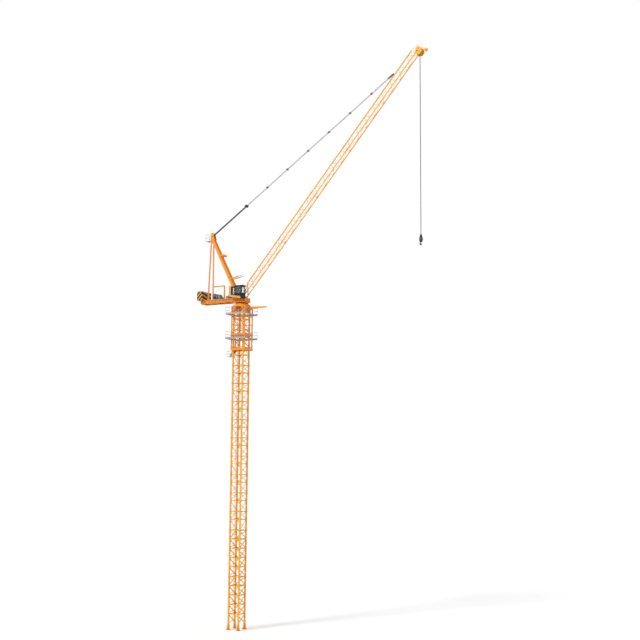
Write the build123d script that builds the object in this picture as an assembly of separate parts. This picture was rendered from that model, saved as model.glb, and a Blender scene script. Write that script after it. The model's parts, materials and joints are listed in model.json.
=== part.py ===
# Luffing-jib tower crane as a 1:10 scale model, in millimetres (100 mm stand for one metre)
# The origin is on the ground at the mast's axis, +X points along the jib and +Z up
import os
from math import atan2, cos, pi, radians, sin, tan

from build123d import *

# Mast
LEG_SPACING = 189.0
LEG_WIDTH = 22.0
COLLAR_WIDTH = 29.0
COLLAR_HEIGHT = 16.0
SECTION_HEIGHT = 300.0
SECTION_COUNT = 12
SECTION_MID_LEVEL = 166.0
SECTION_MID_STRUT = 12.0
SECTION_STRUT = 8.0
SECTION_BRACE = 7.0
SECTION_SETBACK = 6.0
BASE_HEIGHT = 743.0
BASE_COUNT = 2
BASE_PANELS = 5
BASE_STRUT = 10.0
BASE_BRACE = 11.0
BASE_TIE = 16.0
BASE_SETBACK = 9.0
FOOT_HEIGHT = 100.0
FOOT_PLATE_WIDTH = 62.0
FOOT_PLATE_THICKNESS = 5.0
FOOT_GUSSET_TOE = 5.0
FOOT_GUSSET_THICKNESS = 4.0
FOOT_BOLT_SPACING = 46.0
FOOT_BOLT_RADIUS = 2.2

# Climbing frame round the mast top
CAGE_SIDE = 118.0
CAGE_FRONT = 136.0
CAGE_POST = 16.0
CAGE_LIP = 4.0
CAGE_RAIL = 10.0
CAGE_RAIL_COUNT = 3
CAGE_BRACE = 7.0
CAGE_SETBACK = 5.0
CAGE_HEIGHT = 747.0
CAGE_FOOT_DEPTH = 34.0
CAGE_RING_DROP = 465.0
CAGE_RING_DEPTH = 40.0
PLATFORM_WIDTH = 390.0
PLATFORM_THICKNESS = 4.0
PLATFORM_RIM = 16.0
PLATFORM_EDGE = 5.0
UPPER_PLATFORM_DROP = 133.0
LOWER_PLATFORM_DROP = 543.0
RAIL_HEIGHT = 110.0
RAIL_WIDTH = 3.0
RAIL_BAY = 190.0
GATE_WIDTH = 80.0
INTRO_BEAM_REACH = 482.0
INTRO_BEAM_WIDTH = 20.0
INTRO_BEAM_DEPTH = 42.0
INTRO_TIP_DEPTH = 21.0
INTRO_BEAM_DROP = 36.0
RAM_RADIUS = 9.0
RAM_ROD_RADIUS = 5.0
RAM_LENGTH = 130.0
RAM_INSET = 2.0
YOKE_LENGTH = 124.0
YOKE_WIDTH = 22.0
YOKE_HEIGHT = 47.0
YOKE_DROP = 15.0
YOKE_CHAMFER = 8.0
PUMP_LENGTH = 55.0
PUMP_WIDTH = 60.0
PUMP_HEIGHT = 45.0
PUMP_FLOOR_WIDTH = 150.0
PUMP_FLOOR_REACH = 105.0
PUMP_FLOOR_DROP = 95.0
PUMP_RAIL_HEIGHT = 88.0

# Slewing support, ring and deck
SUPPORT_HEIGHT = 126.0
SUPPORT_WALL = 12.0
SHOULDER_WIDTH = 244.0
SHOULDER_CORNER = 40.0
SHOULDER_RISE = 86.0
SHOULDER_DEPTH = 14.0
CROWN_WIDTH = 204.0
RING_RADIUS = 98.0
RING_HEIGHT = 14.0
RING_GAP = 0.3
TURNTABLE_HEIGHT = 18.0
TURNTABLE_WIDTH = 300.0
TURNTABLE_FOOT_WIDTH = 220.0
DECK_REAR = 779.0
DECK_FRONT = 112.0
DECK_WIDTH = 180.0
DECK_DEPTH = 60.0
GIRDER_WIDTH = 22.0
GIRDER_WEB = 5.0
GIRDER_FLANGE = 5.0
CROSS_BEAM = 16.0
CROSS_BEAM_COUNT = 7
FLOOR_THICKNESS = 4.0

# Counterweight
SLAB_COUNT = 4
SLAB_THICKNESS = 25.0
SLAB_GAP = 0.8
SLAB_WIDTH = 280.0
SLAB_HEIGHT = 154.0
SLAB_OVERHANG = 39.0
SLAB_CHAMFER = 6.0

# Winches, cabinet and service portal
HOIST_WINCH_X = -512.0
HOIST_DRUM_RADIUS = 42.0
HOIST_DRUM_LENGTH = 96.0
LUFF_WINCH_X = -196.0
LUFF_DRUM_RADIUS = 36.0
LUFF_DRUM_LENGTH = 90.0
DRUM_FLANGE = 5.0
DRUM_RIM = 10.0
MOTOR_RADIUS = 20.0
MOTOR_LENGTH = 26.0
CABINET_X = -330.0
CABINET_LENGTH = 60.0
CABINET_WIDTH = 34.0
CABINET_HEIGHT = 70.0
PORTAL_X = -395.0
PORTAL_HEIGHT = 262.0
PORTAL_BAR = 18.0

# Cab
CAB_REAR = -140.0
CAB_LENGTH = 286.0
CAB_WIDTH = 100.0
CAB_HEIGHT = 180.0
CAB_DECK_GAP = 4.0
CAB_FLOOR_RISE = 45.0
CAB_FLOOR_SLOPE = 0.16
CAB_POST = 42.0
CAB_BEAM = 34.0
CAB_BEAM_END = 90.0
CAB_ARM = 8.0
CAB_ARM_END = -30.0
CAB_BEND = 30.0
CAB_WALL = 5.0
CAB_CHIN = 20.0
CAB_BROW = 13.0
CAB_SILL = 62.0
CAB_HEADER = 12.0
CAB_CORNER = 26.0
CAB_SLIT_START = -68.0
CAB_SLIT_WIDTH = 40.0
CAB_SLIT_SILL = 44.0
CAB_SIDE_START = -8.0
CAB_SIDE_WIDTH = 104.0
CAB_PILLAR = 18.0
GLASS_THICKNESS = 2.0
GLASS_SETBACK = 1.5
CAB_ROOF_THICKNESS = 13.0
CAB_ROOF_LIP = 3.0
CAB_BRACKET_WIDTH = 16.0
CAB_BRACKET_DEPTH = 24.0
CAB_REAR_BRACKET = -120.0
CAB_REAR_BRACKET_REACH = 54.0
CAB_FRONT_BRACKET = 60.0

# A-frame
FRAME_HEAD_X = -590.0
FRAME_HEAD_HEIGHT = 1108.0
FRAME_HEAD_DROP = 54.0
FRAME_FRONT_X = -58.0
FRAME_FRONT_SPREAD = 98.0
FRAME_FRONT_WIDTH = 22.0
FRAME_FRONT_DEPTH = 40.0
FRAME_REAR_X = -632.0
FRAME_REAR_SPREAD = 140.0
FRAME_REAR_WIDTH = 12.0
FRAME_REAR_SHOE = 24.0
FRAME_TOP_SPREAD = 60.0
FRAME_RUNG_COUNT = 4
FRAME_RUNG = 10.0
FRAME_SHOE_RISE = 28.0
FRAME_FOOT_HEIGHT = 14.0
FRAME_FOOT_LIP = 20.0
CROWN_RADIUS = 24.0
CROWN_RISE = 52.0
SHOE_RADIUS = 14.0
SHOE_REACH = 22.0
SHOE_DROP = 47.0
TIE_PIN_SETBACK = 26.0
TIE_PIN_DROP = 105.0
TIE_PIN_RADIUS = 5.0
TIE_EYE_RADIUS = 12.0
TIE_NECK = 24.0
TIE_LUG_RADIUS = 16.0
TIE_GAP = 0.3
HEAD_PLATE = 6.0
HEAD_SHEAVE_RADIUS = 20.0
HEAD_SHEAVE_WIDTH = 50.0
HEAD_PIN_RADIUS = 6.0
HEAD_FLOOR_DROP = 71.0
HEAD_FLOOR_LENGTH = 90.0
HEAD_FLOOR_WIDTH = 124.0
STOP_LEVEL = 0.323
STOP_ANGLE = 10.0
STOP_BARREL = 150.0
STOP_ROD = 72.0
STOP_RADIUS = 8.0
STOP_ROD_RADIUS = 4.0
STOP_SIDES = 8
STOP_GAP = 0.3
BUFFER_LEVEL = 0.72
BUFFER_LENGTH = 110.0
BUFFER_RADIUS = 14.0

# Jib
PIVOT_X = 60.0
PIVOT_RISE = 24.0
PIVOT_RADIUS = 6.0
PIVOT_CLEARANCE = 0.05
EYE_RADIUS = 13.0
LUG_THICKNESS = 8.0
LUG_GAP = 1.0
JIB_ANGLE = 49.6
JIB_WIDTH = 110.0
JIB_HEIGHT = 117.0
JIB_CHORD = 12.0
JIB_LACE = 4.0
JIB_LACE_SETBACK = 4.0
JIB_SECTIONS = 5
JIB_PANELS = 8
JIB_FOOT_APEX = 211.0
JIB_RISER_START = 39.0
JIB_HEAD_APEX = 4851.0
TIP_REACH = 34.0
TIP_CHEEK = 8.0
TIP_BACK = 60.0
TIP_HEEL = 18.0
TIP_NOSE = 74.0
TIP_NOSE_SLOPE = 32.0
TIP_SHOULDER = 12.0
TIP_COVER = 42.0
TIP_KEEL = 74.0
TIP_PLATE = 6.0
TIP_SHEAVE_RADIUS = 26.0
TIP_SHEAVE_WIDTH = 24.0
TIP_PIN_RADIUS = 6.0
LAMP_LENGTH = 50.0
LAMP_WIDTH = 45.0
LAMP_HEIGHT = 42.0
LAMP_ARM = 8.0
LAMP_REACH = 96.0
LAMP_DROP = 91.0

# Luffing gear between the A-frame head and the jib
PENDANT_ANCHOR = 4382.0
PENDANT_SPACING = 22.0
PENDANT_WIDTH = 5.5
PENDANT_BARS = 7
PENDANT_LINK = 9.0
PENDANT_LUG = 14.0
PENDANT_FITTING = 96.0
FITTING_DEPTH = 15.0
ROPE_RUN = 780.0
ROPE_RADIUS = 2.4
ROPE_FALLS = 7
ROPE_PITCH = 7.0
ROPE_SIDES = 6
BLOCK_LENGTH = 50.0
BLOCK_WIDTH = 60.0
BLOCK_HEIGHT = 34.0

# Hoist rope, hook block and hook
HOIST_ROPE_RADIUS = 3.0
HOIST_FALL_SPACING = 16.0
HOOK_BLOCK_DROP = 2954.0
HOOK_BLOCK_HEIGHT = 100.0
HOOK_BLOCK_RADIUS = 30.0
HOOK_CONE_HEIGHT = 50.0
HOOK_CONE_RADIUS = 22.0
HOOK_NECK_RADIUS = 13.0
HOOK_SHANK_WIDTH = 13.0
HOOK_SHANK_LENGTH = 22.0
HOOK_RADIUS = 22.0
HOOK_THROAT_RADIUS = 12.0
HOOK_THROAT_RISE = 3.0
HOOK_THICKNESS = 13.0
HOOK_GAP = 0.3

# Levels and places that follow from the sizes above
HALF = LEG_SPACING / 2
CORNERS = [(-HALF, -HALF), (HALF, -HALF), (HALF, HALF), (-HALF, HALF)]
BASE_FOOT = FOOT_HEIGHT
MAST_FOOT = BASE_FOOT + BASE_COUNT * BASE_HEIGHT
MAST_TOP = MAST_FOOT + SECTION_COUNT * SECTION_HEIGHT
SUPPORT_TOP = MAST_TOP + SUPPORT_HEIGHT
RING_TOP = SUPPORT_TOP + RING_HEIGHT
DECK_BOTTOM = RING_TOP + RING_GAP + TURNTABLE_HEIGHT
DECK_TOP = DECK_BOTTOM + DECK_DEPTH
FLOOR_TOP = DECK_TOP + FLOOR_THICKNESS
CAGE_TOP = MAST_TOP + SHOULDER_RISE
CAGE_BOTTOM = CAGE_TOP - CAGE_HEIGHT
CAGE_RING = CAGE_TOP - CAGE_RING_DROP
CAGE_OUTER = CAGE_SIDE + CAGE_POST / 2
CAGE_OUTER_FRONT = CAGE_FRONT + CAGE_POST / 2
GIRDER_Y = DECK_WIDTH / 2 - GIRDER_WIDTH / 2
PIVOT = Vector(PIVOT_X, 0, DECK_TOP + PIVOT_RISE)
JIB_PLANE = Plane(
    PIVOT,
    x_dir=(cos(radians(JIB_ANGLE)), 0, sin(radians(JIB_ANGLE))),
    z_dir=(-sin(radians(JIB_ANGLE)), 0, cos(radians(JIB_ANGLE))),
)
JIB_LENGTH = JIB_HEAD_APEX + TIP_REACH
HEAD = Vector(FRAME_HEAD_X, 0, DECK_TOP + FRAME_HEAD_HEIGHT)
CAB_NEAR = -DECK_WIDTH / 2 - CAB_DECK_GAP - CAB_WIDTH
CAB_FAR = CAB_NEAR + CAB_WIDTH
CAB_FRONT = CAB_REAR + CAB_LENGTH
CAB_ROOF = FLOOR_TOP + CAB_HEIGHT
OCTAGON_SIDES = 8
BOTTOM_UP = (Align.CENTER, Align.CENTER, Align.MIN)
TOP_DOWN = (Align.CENTER, Align.CENTER, Align.MAX)
ACROSS = Vector(0, 1, 0)


def save(node, *solids):
    """Write one named piece."""
    shape = solids[0] if len(solids) == 1 else Compound(children=list(solids))
    export_step(shape, f"parts/{node}.step")


def fused(shapes):
    """One solid from touching shapes."""
    return Part() + list(shapes)


def along(start, end, across=None):
    """A plane at the start whose Z runs to the end, with its X level or towards across."""
    direction = (Vector(end) - Vector(start)).normalized()
    level = Vector(across) if across else Vector(0, 0, 1).cross(direction)
    if level.length < 1e-6:
        level = Vector(1, 0, 0)
    return Plane(Vector(start), x_dir=level, z_dir=direction)


def bar(start, end, width, depth=None, across=None):
    """A straight bar of rectangular section from point to point."""
    length = (Vector(end) - Vector(start)).length
    return along(start, end, across) * Box(width, depth or width, length, align=BOTTOM_UP)


def rod(start, end, radius):
    """A straight round bar from point to point."""
    length = (Vector(end) - Vector(start)).length
    return along(start, end) * Cylinder(radius, length, align=BOTTOM_UP)


def prism(start, end, radius, sides):
    """A straight bar of few sides from point to point."""
    length = (Vector(end) - Vector(start)).length
    return along(start, end) * extrude(RegularPolygon(radius, sides), length)


def block(low, high):
    """A box between two opposite corners."""
    size = Vector(high) - Vector(low)
    return Pos(Vector(low) + size / 2) * Box(size.X, size.Y, size.Z)


def cross_rod(centre, radius, length):
    """A round bar across the crane, along Y."""
    return Pos(Vector(centre)) * Rot(90, 0, 0) * Cylinder(radius, length)


def upright(origin, face, thickness):
    """A flat face drawn in X and Z, made solid to both sides across the crane."""
    place = Plane(Vector(origin), x_dir=(1, 0, 0), z_dir=(0, -1, 0))
    return extrude(place * face, thickness / 2, both=True)


def octagon(width, cut, z):
    """The corners of a level square with its four corners cut off."""
    half, side = width / 2, width / 2 - cut
    points = [(side, -half, z), (half, -side, z), (half, side, z), (side, half, z)]
    return points + [(-x, -y, z) for x, y, z in points]


def flat_face(points):
    """A flat face round its corners."""
    return make_face(Polyline(*points, close=True))


def frustum(low, high):
    """A solid with flat sides between two level outlines of as many corners."""
    faces = [flat_face(low), flat_face(high)]
    for k in range(len(low)):
        faces.append(flat_face([low[k - 1], low[k], high[k], high[k - 1]]))
    return Solid(Shell([face.face() for face in faces]))


def even_cut(width):
    """The corner cut that gives a square of that width eight equal sides."""
    return width / 2 * (1 - tan(pi / OCTAGON_SIDES))


def corner(index, z):
    """A point on one mast leg's axis."""
    x, y = CORNERS[index % 4]
    return Vector(x, y, z)


def legs(bottom, top):
    """Four mast legs, each with a connecting collar at its top."""
    pieces = []
    for x, y in CORNERS:
        pieces.append(Pos(x, y, bottom) * Box(LEG_WIDTH, LEG_WIDTH, top - bottom, align=BOTTOM_UP))
        pieces.append(Pos(x, y, top) * Box(COLLAR_WIDTH, COLLAR_WIDTH, COLLAR_HEIGHT, align=TOP_DOWN))
    return pieces


def struts(z, width):
    """Four level bars between the mast legs."""
    return [bar(corner(k, z), corner(k + 1, z), width) for k in range(4)]


def braces(bottom, top, width, turned):
    """One sloping bar on each mast side, all rising the same way round or the other."""
    pieces = []
    for k in range(4):
        high, low = (k, k + 1) if turned else (k + 1, k)
        pieces.append(bar(corner(low, bottom), corner(high, top), width))
    return pieces


def mast_section():
    """Standard section: two panels on each side, braced in a zigzag."""
    pieces = legs(0, SECTION_HEIGHT)
    pieces += struts(SECTION_MID_LEVEL, SECTION_MID_STRUT)
    pieces += struts(SECTION_HEIGHT - COLLAR_HEIGHT / 2, SECTION_STRUT)
    pieces += braces(SECTION_SETBACK, SECTION_MID_LEVEL - SECTION_SETBACK, SECTION_BRACE, False)
    upper = SECTION_MID_LEVEL + SECTION_SETBACK
    pieces += braces(upper, SECTION_HEIGHT - COLLAR_HEIGHT, SECTION_BRACE, True)
    return fused(pieces)


def base_section():
    """Tall base section: panels braced one way round, the top one turned back over a heavy tie."""
    pitch = BASE_HEIGHT / BASE_PANELS
    pieces = legs(0, BASE_HEIGHT)
    for panel in range(1, BASE_PANELS):
        pieces += struts(panel * pitch, BASE_TIE if panel == BASE_PANELS - 1 else BASE_STRUT)
        pieces += braces((panel - 1) * pitch + BASE_SETBACK, panel * pitch - BASE_SETBACK, BASE_BRACE, False)
    pieces += struts(BASE_HEIGHT - COLLAR_HEIGHT / 2, BASE_STRUT)
    last = (BASE_PANELS - 1) * pitch + BASE_SETBACK
    pieces += braces(last, BASE_HEIGHT - COLLAR_HEIGHT, BASE_BRACE, True)
    return fused(pieces)


def foot_anchor():
    """Anchor foot: base plate with two bolt holes, leg stub and four sloping gussets."""
    plate = Box(FOOT_PLATE_WIDTH, FOOT_PLATE_WIDTH, FOOT_PLATE_THICKNESS, align=BOTTOM_UP)
    for side in (-1, 1):
        place = Pos(side * FOOT_BOLT_SPACING / 2, side * FOOT_BOLT_SPACING / 2, 0)
        plate -= place * Cylinder(FOOT_BOLT_RADIUS, FOOT_PLATE_THICKNESS, align=BOTTOM_UP)
    stub = Box(COLLAR_WIDTH, COLLAR_WIDTH, FOOT_HEIGHT, align=BOTTOM_UP)
    reach, toe = FOOT_PLATE_WIDTH / 2, FOOT_PLATE_THICKNESS + FOOT_GUSSET_TOE
    profile = Polyline(
        (0, FOOT_PLATE_THICKNESS), (reach, FOOT_PLATE_THICKNESS), (reach, toe),
        (COLLAR_WIDTH / 2, FOOT_HEIGHT - COLLAR_HEIGHT), (0, FOOT_HEIGHT - COLLAR_HEIGHT), close=True,
    )
    gusset = upright((0, 0, 0), make_face(profile), FOOT_GUSSET_THICKNESS)
    return fused([plate, stub] + [Rot(0, 0, 90 * k) * gusset for k in range(4)])


def build_mast():
    foot = foot_anchor()
    save("foot_anchors", *[Pos(x, y, 0) * Rot(0, 0, 90 * k) * foot for k, (x, y) in enumerate(CORNERS)])
    tall = base_section()
    for k in range(BASE_COUNT):
        save(f"base_section_{k + 1}", Pos(0, 0, BASE_FOOT + k * BASE_HEIGHT) * tall)
    standard = mast_section()
    for k in range(SECTION_COUNT):
        save(f"mast_section_{k + 1:02d}", Pos(0, 0, MAST_FOOT + k * SECTION_HEIGHT) * standard)


def build_slewing_support():
    """Arched walls on the mast top, a shoulder plate and a pyramid that carries the ring."""
    wide = LEG_SPACING + COLLAR_WIDTH
    room = wide - 2 * SUPPORT_WALL
    walls = Pos(0, 0, MAST_TOP) * Box(wide, wide, SHOULDER_RISE, align=BOTTOM_UP)
    walls -= Pos(0, 0, MAST_TOP) * Box(room, room, SHOULDER_RISE, align=BOTTOM_UP)
    arch = (LEG_SPACING - COLLAR_WIDTH) / 2
    walls -= [Pos(0, 0, MAST_TOP) * Rot(90, 0, turn) * Cylinder(arch, wide) for turn in (0, 90)]
    edge = octagon(SHOULDER_WIDTH, SHOULDER_CORNER, CAGE_TOP + SHOULDER_DEPTH)
    shoulder = extrude(flat_face(edge), -SHOULDER_DEPTH)
    pyramid = frustum(edge, octagon(CROWN_WIDTH, even_cut(CROWN_WIDTH), SUPPORT_TOP))
    save("slewing_support", fused([walls, shoulder, pyramid]))
    save("slewing_ring", Pos(0, 0, SUPPORT_TOP) * Cylinder(RING_RADIUS, RING_HEIGHT, align=BOTTOM_UP))


def cage_point(index, z):
    """A point on one axis of the climbing frame's four posts."""
    x = CAGE_FRONT if index % 4 in (1, 2) else -CAGE_SIDE
    y = CAGE_SIDE if index % 4 in (2, 3) else -CAGE_SIDE
    return Vector(x, y, z)


def cage_ring(bottom, depth):
    """A level box beam round all four posts, proud of their outer faces."""
    inner = CAGE_SIDE - CAGE_POST / 2
    inner_front = CAGE_FRONT - CAGE_POST / 2
    outer, outer_front = CAGE_OUTER + CAGE_LIP, CAGE_OUTER_FRONT + CAGE_LIP
    ring = block((-outer, -outer, bottom), (outer_front, outer, bottom + depth))
    return ring - block((-inner, -inner, bottom), (inner_front, inner, bottom + depth))


def build_climbing_frame():
    """Open sleeve of posts, ring beams and braced sides; its +X side is open for new sections."""
    pieces = [bar(cage_point(k, CAGE_BOTTOM), cage_point(k, CAGE_TOP), CAGE_POST) for k in range(4)]
    pieces.append(cage_ring(CAGE_BOTTOM, CAGE_FOOT_DEPTH))
    pieces.append(cage_ring(CAGE_RING - CAGE_RING_DEPTH, CAGE_RING_DEPTH))
    pitch = (CAGE_TOP - CAGE_RAIL / 2 - CAGE_RING) / CAGE_RAIL_COUNT
    closed_sides = (0, 2, 3)
    for number in range(CAGE_RAIL_COUNT):
        low, high = CAGE_RING + number * pitch, CAGE_RING + (number + 1) * pitch
        for k in closed_sides:
            pieces.append(bar(cage_point(k, high), cage_point(k + 1, high), CAGE_RAIL))
            turn = (k + number) % 2
            start = cage_point(k + turn, low + CAGE_RAIL / 2 + CAGE_SETBACK)
            end = cage_point(k + 1 - turn, high - CAGE_RAIL / 2 - CAGE_SETBACK)
            pieces.append(bar(start, end, CAGE_BRACE))
    for k in (0, 2):
        start = cage_point(k, CAGE_BOTTOM + CAGE_FOOT_DEPTH + CAGE_SETBACK)
        end = cage_point(k + 1, CAGE_RING - CAGE_RING_DEPTH - CAGE_SETBACK)
        pieces.append(bar(start, end, CAGE_BRACE))
    level = CAGE_TOP - INTRO_BEAM_DROP
    pieces.append(bar(cage_point(1, level), cage_point(2, level), CAGE_POST + CAGE_LIP, INTRO_BEAM_DEPTH))
    save("climbing_frame", fused(pieces))


def railing(corners, floor, height):
    """Handrail with a knee rail and posts along a line of corners."""
    pieces = []
    for start, end in zip(corners, corners[1:]):
        a, b = Vector(*start, floor), Vector(*end, floor)
        bays = max(1, round((b - a).length / RAIL_BAY))
        for level in (height / 2, height - RAIL_WIDTH / 2):
            rise = Vector(0, 0, level)
            pieces.append(bar(a + rise, b + rise, RAIL_WIDTH))
        for k in range(bays + 1):
            foot = a + (b - a) * (k / bays)
            pieces.append(bar(foot, foot + Vector(0, 0, height), RAIL_WIDTH))
    return pieces


def build_platforms():
    """Two square walkways with rimmed floors round the climbing frame, each with a gate at the front."""
    half = PLATFORM_WIDTH / 2
    inner = half - PLATFORM_EDGE
    edge, gate = half - RAIL_WIDTH / 2, GATE_WIDTH / 2
    line = [(edge, gate), (edge, edge), (-edge, edge), (-edge, -edge), (edge, -edge), (edge, -gate)]
    for name, drop in (("upper_platform", UPPER_PLATFORM_DROP), ("lower_platform", LOWER_PLATFORM_DROP)):
        floor = CAGE_TOP - drop
        under, rim = floor - PLATFORM_THICKNESS, floor - PLATFORM_RIM
        tray = block((-half, -half, rim), (half, half, floor))
        tray -= block((-inner, -inner, rim), (inner, inner, under))
        opening = block((-CAGE_OUTER, -CAGE_OUTER, rim), (CAGE_OUTER_FRONT, CAGE_OUTER, floor))
        save(name, fused([tray - opening] + railing(line, floor, RAIL_HEIGHT)))


def build_climbing_gear():
    level = CAGE_TOP - INTRO_BEAM_DROP
    root = CAGE_FRONT + (CAGE_POST + CAGE_LIP) / 2
    profile = Polyline(
        (root, level - INTRO_BEAM_DEPTH / 2), (INTRO_BEAM_REACH, level - INTRO_TIP_DEPTH / 2),
        (INTRO_BEAM_REACH, level + INTRO_TIP_DEPTH / 2), (root, level + INTRO_BEAM_DEPTH / 2), close=True,
    )
    save("introduction_beam", upright((0, 0, 0), make_face(profile), INTRO_BEAM_WIDTH))
    seat = Vector(RAM_INSET - CAGE_SIDE, 0, CAGE_BOTTOM + CAGE_FOOT_DEPTH)
    top = Vector(seat.X, 0, CAGE_RING - CAGE_RING_DEPTH)
    barrel = rod(seat, seat + Vector(0, 0, RAM_LENGTH), RAM_RADIUS)
    ram = fused([barrel, rod(seat, top, RAM_ROD_RADIUS)])
    rear = -CAGE_OUTER - CAGE_LIP
    yoke = block(
        (rear - YOKE_WIDTH, -YOKE_LENGTH / 2, CAGE_BOTTOM - YOKE_DROP),
        (rear, YOKE_LENGTH / 2, CAGE_BOTTOM - YOKE_DROP + YOKE_HEIGHT),
    )
    yoke = chamfer(yoke.edges().filter_by(Axis.Z).group_by(Axis.X)[0], YOKE_CHAMFER)
    save("climbing_ram", ram, yoke)


def build_pump_platform():
    """Small rear platform that hangs under the climbing frame and carries the hydraulic unit."""
    floor = CAGE_BOTTOM - PUMP_FLOOR_DROP
    front, rear = -CAGE_SIDE, -CAGE_OUTER - CAGE_LIP - PUMP_FLOOR_REACH
    half = PUMP_FLOOR_WIDTH / 2
    pieces = [block((rear, -half, floor - PLATFORM_THICKNESS), (front, half, floor))]
    for side in (-1, 1):
        hanger = Vector(front - CAGE_BRACE / 2, side * (half - CAGE_BRACE / 2), floor)
        pieces.append(bar(hanger, hanger + Vector(0, 0, PUMP_FLOOR_DROP), CAGE_BRACE))
    edge = half - RAIL_WIDTH / 2
    outer = rear + RAIL_WIDTH / 2
    line = [(front - CAGE_BRACE / 2, -edge), (outer, -edge), (outer, edge), (front - CAGE_BRACE / 2, edge)]
    save("pump_platform", fused(pieces + railing(line, floor, PUMP_RAIL_HEIGHT)))
    pump = Pos((front + rear) / 2, 0, floor) * Box(PUMP_LENGTH, PUMP_WIDTH, PUMP_HEIGHT, align=BOTTOM_UP)
    save("hydraulic_unit", pump)


def girder(y):
    """An I-section deck girder."""
    length = DECK_REAR + DECK_FRONT
    middle = (DECK_FRONT - DECK_REAR) / 2
    web = Pos(middle, y, DECK_BOTTOM) * Box(length, GIRDER_WEB, DECK_DEPTH, align=BOTTOM_UP)
    low = Pos(middle, y, DECK_BOTTOM) * Box(length, GIRDER_WIDTH, GIRDER_FLANGE, align=BOTTOM_UP)
    high = Pos(middle, y, DECK_TOP) * Box(length, GIRDER_WIDTH, GIRDER_FLANGE, align=TOP_DOWN)
    return [web, low, high]


def build_deck():
    foot = octagon(TURNTABLE_FOOT_WIDTH, even_cut(TURNTABLE_FOOT_WIDTH), RING_TOP + RING_GAP)
    rim = octagon(TURNTABLE_WIDTH, even_cut(TURNTABLE_WIDTH), DECK_BOTTOM)
    save("slewing_platform", frustum(foot, rim))
    pieces = girder(-GIRDER_Y) + girder(GIRDER_Y)
    span = DECK_REAR + DECK_FRONT - CROSS_BEAM
    for k in range(CROSS_BEAM_COUNT):
        x = -DECK_REAR + CROSS_BEAM / 2 + span * k / (CROSS_BEAM_COUNT - 1)
        pieces.append(Pos(x, 0, DECK_BOTTOM) * Box(CROSS_BEAM, 2 * GIRDER_Y, DECK_DEPTH, align=BOTTOM_UP))
    save("deck_girders", fused(pieces))
    floor = block((slab_front(), -DECK_WIDTH / 2, DECK_TOP), (DECK_FRONT, DECK_WIDTH / 2, FLOOR_TOP))
    save("deck_floor", floor)


def slab_front():
    """The counterweight stack's front face."""
    stack = SLAB_COUNT * SLAB_THICKNESS + (SLAB_COUNT - 1) * SLAB_GAP
    return -DECK_REAR - SLAB_OVERHANG + stack


def build_counterweight():
    slabs = []
    for k in range(SLAB_COUNT):
        x = slab_front() - k * (SLAB_THICKNESS + SLAB_GAP) - SLAB_THICKNESS / 2
        slab = Box(SLAB_THICKNESS, SLAB_WIDTH, SLAB_HEIGHT, align=BOTTOM_UP)
        slab = chamfer(slab.edges().filter_by(Axis.X), SLAB_CHAMFER)
        slabs.append(Pos(x, 0, DECK_TOP) * slab)
    save("counterweight_slabs", *slabs)


def winch(x, radius, length):
    """Flanged rope drum on two side frames and a base plate, with a motor at its near end."""
    rim = radius + DRUM_RIM
    axis = FLOOR_TOP + rim + DRUM_FLANGE
    inside = length / 2 + DRUM_FLANGE
    outside = inside + DRUM_FLANGE
    pieces = [cross_rod((x, 0, axis), radius, length)]
    for side in (-1, 1):
        pieces.append(cross_rod((x, side * (inside - DRUM_FLANGE / 2), axis), rim, DRUM_FLANGE))
        near, far = sorted((side * inside, side * outside))
        pieces.append(block((x - radius, near, FLOOR_TOP), (x + radius, far, axis)))
    motor = (x, -outside - MOTOR_LENGTH / 2, axis - MOTOR_RADIUS)
    pieces.append(cross_rod(motor, MOTOR_RADIUS, MOTOR_LENGTH))
    pieces.append(block((x - rim, -outside, FLOOR_TOP), (x + rim, outside, FLOOR_TOP + DRUM_FLANGE)))
    return fused(pieces)


def build_machinery():
    save("hoist_winch", winch(HOIST_WINCH_X, HOIST_DRUM_RADIUS, HOIST_DRUM_LENGTH))
    save("luffing_winch", winch(LUFF_WINCH_X, LUFF_DRUM_RADIUS, LUFF_DRUM_LENGTH))
    cabinet_y = DECK_WIDTH / 2 - CABINET_WIDTH / 2
    cabinet = Box(CABINET_LENGTH, CABINET_WIDTH, CABINET_HEIGHT, align=BOTTOM_UP)
    save("switch_cabinet", Pos(CABINET_X, cabinet_y, FLOOR_TOP) * cabinet)
    top = DECK_TOP + PORTAL_HEIGHT
    bar_z = top - PORTAL_BAR / 2
    tie = tie_point(1, top)
    tie_x = tie.X + FRAME_REAR_WIDTH / 2 + TIE_GAP
    post = bar((PORTAL_X, tie.Y, FLOOR_TOP), (PORTAL_X, tie.Y, top), PORTAL_BAR)
    save("service_portal", fused([post, bar((tie_x, tie.Y, bar_z), (PORTAL_X, tie.Y, bar_z), PORTAL_BAR)]))


def cab_floor(x):
    """Level of the cab's sloping floor at a place along it."""
    return FLOOR_TOP + CAB_FLOOR_RISE - CAB_FLOOR_SLOPE * (x - CAB_REAR)


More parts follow.
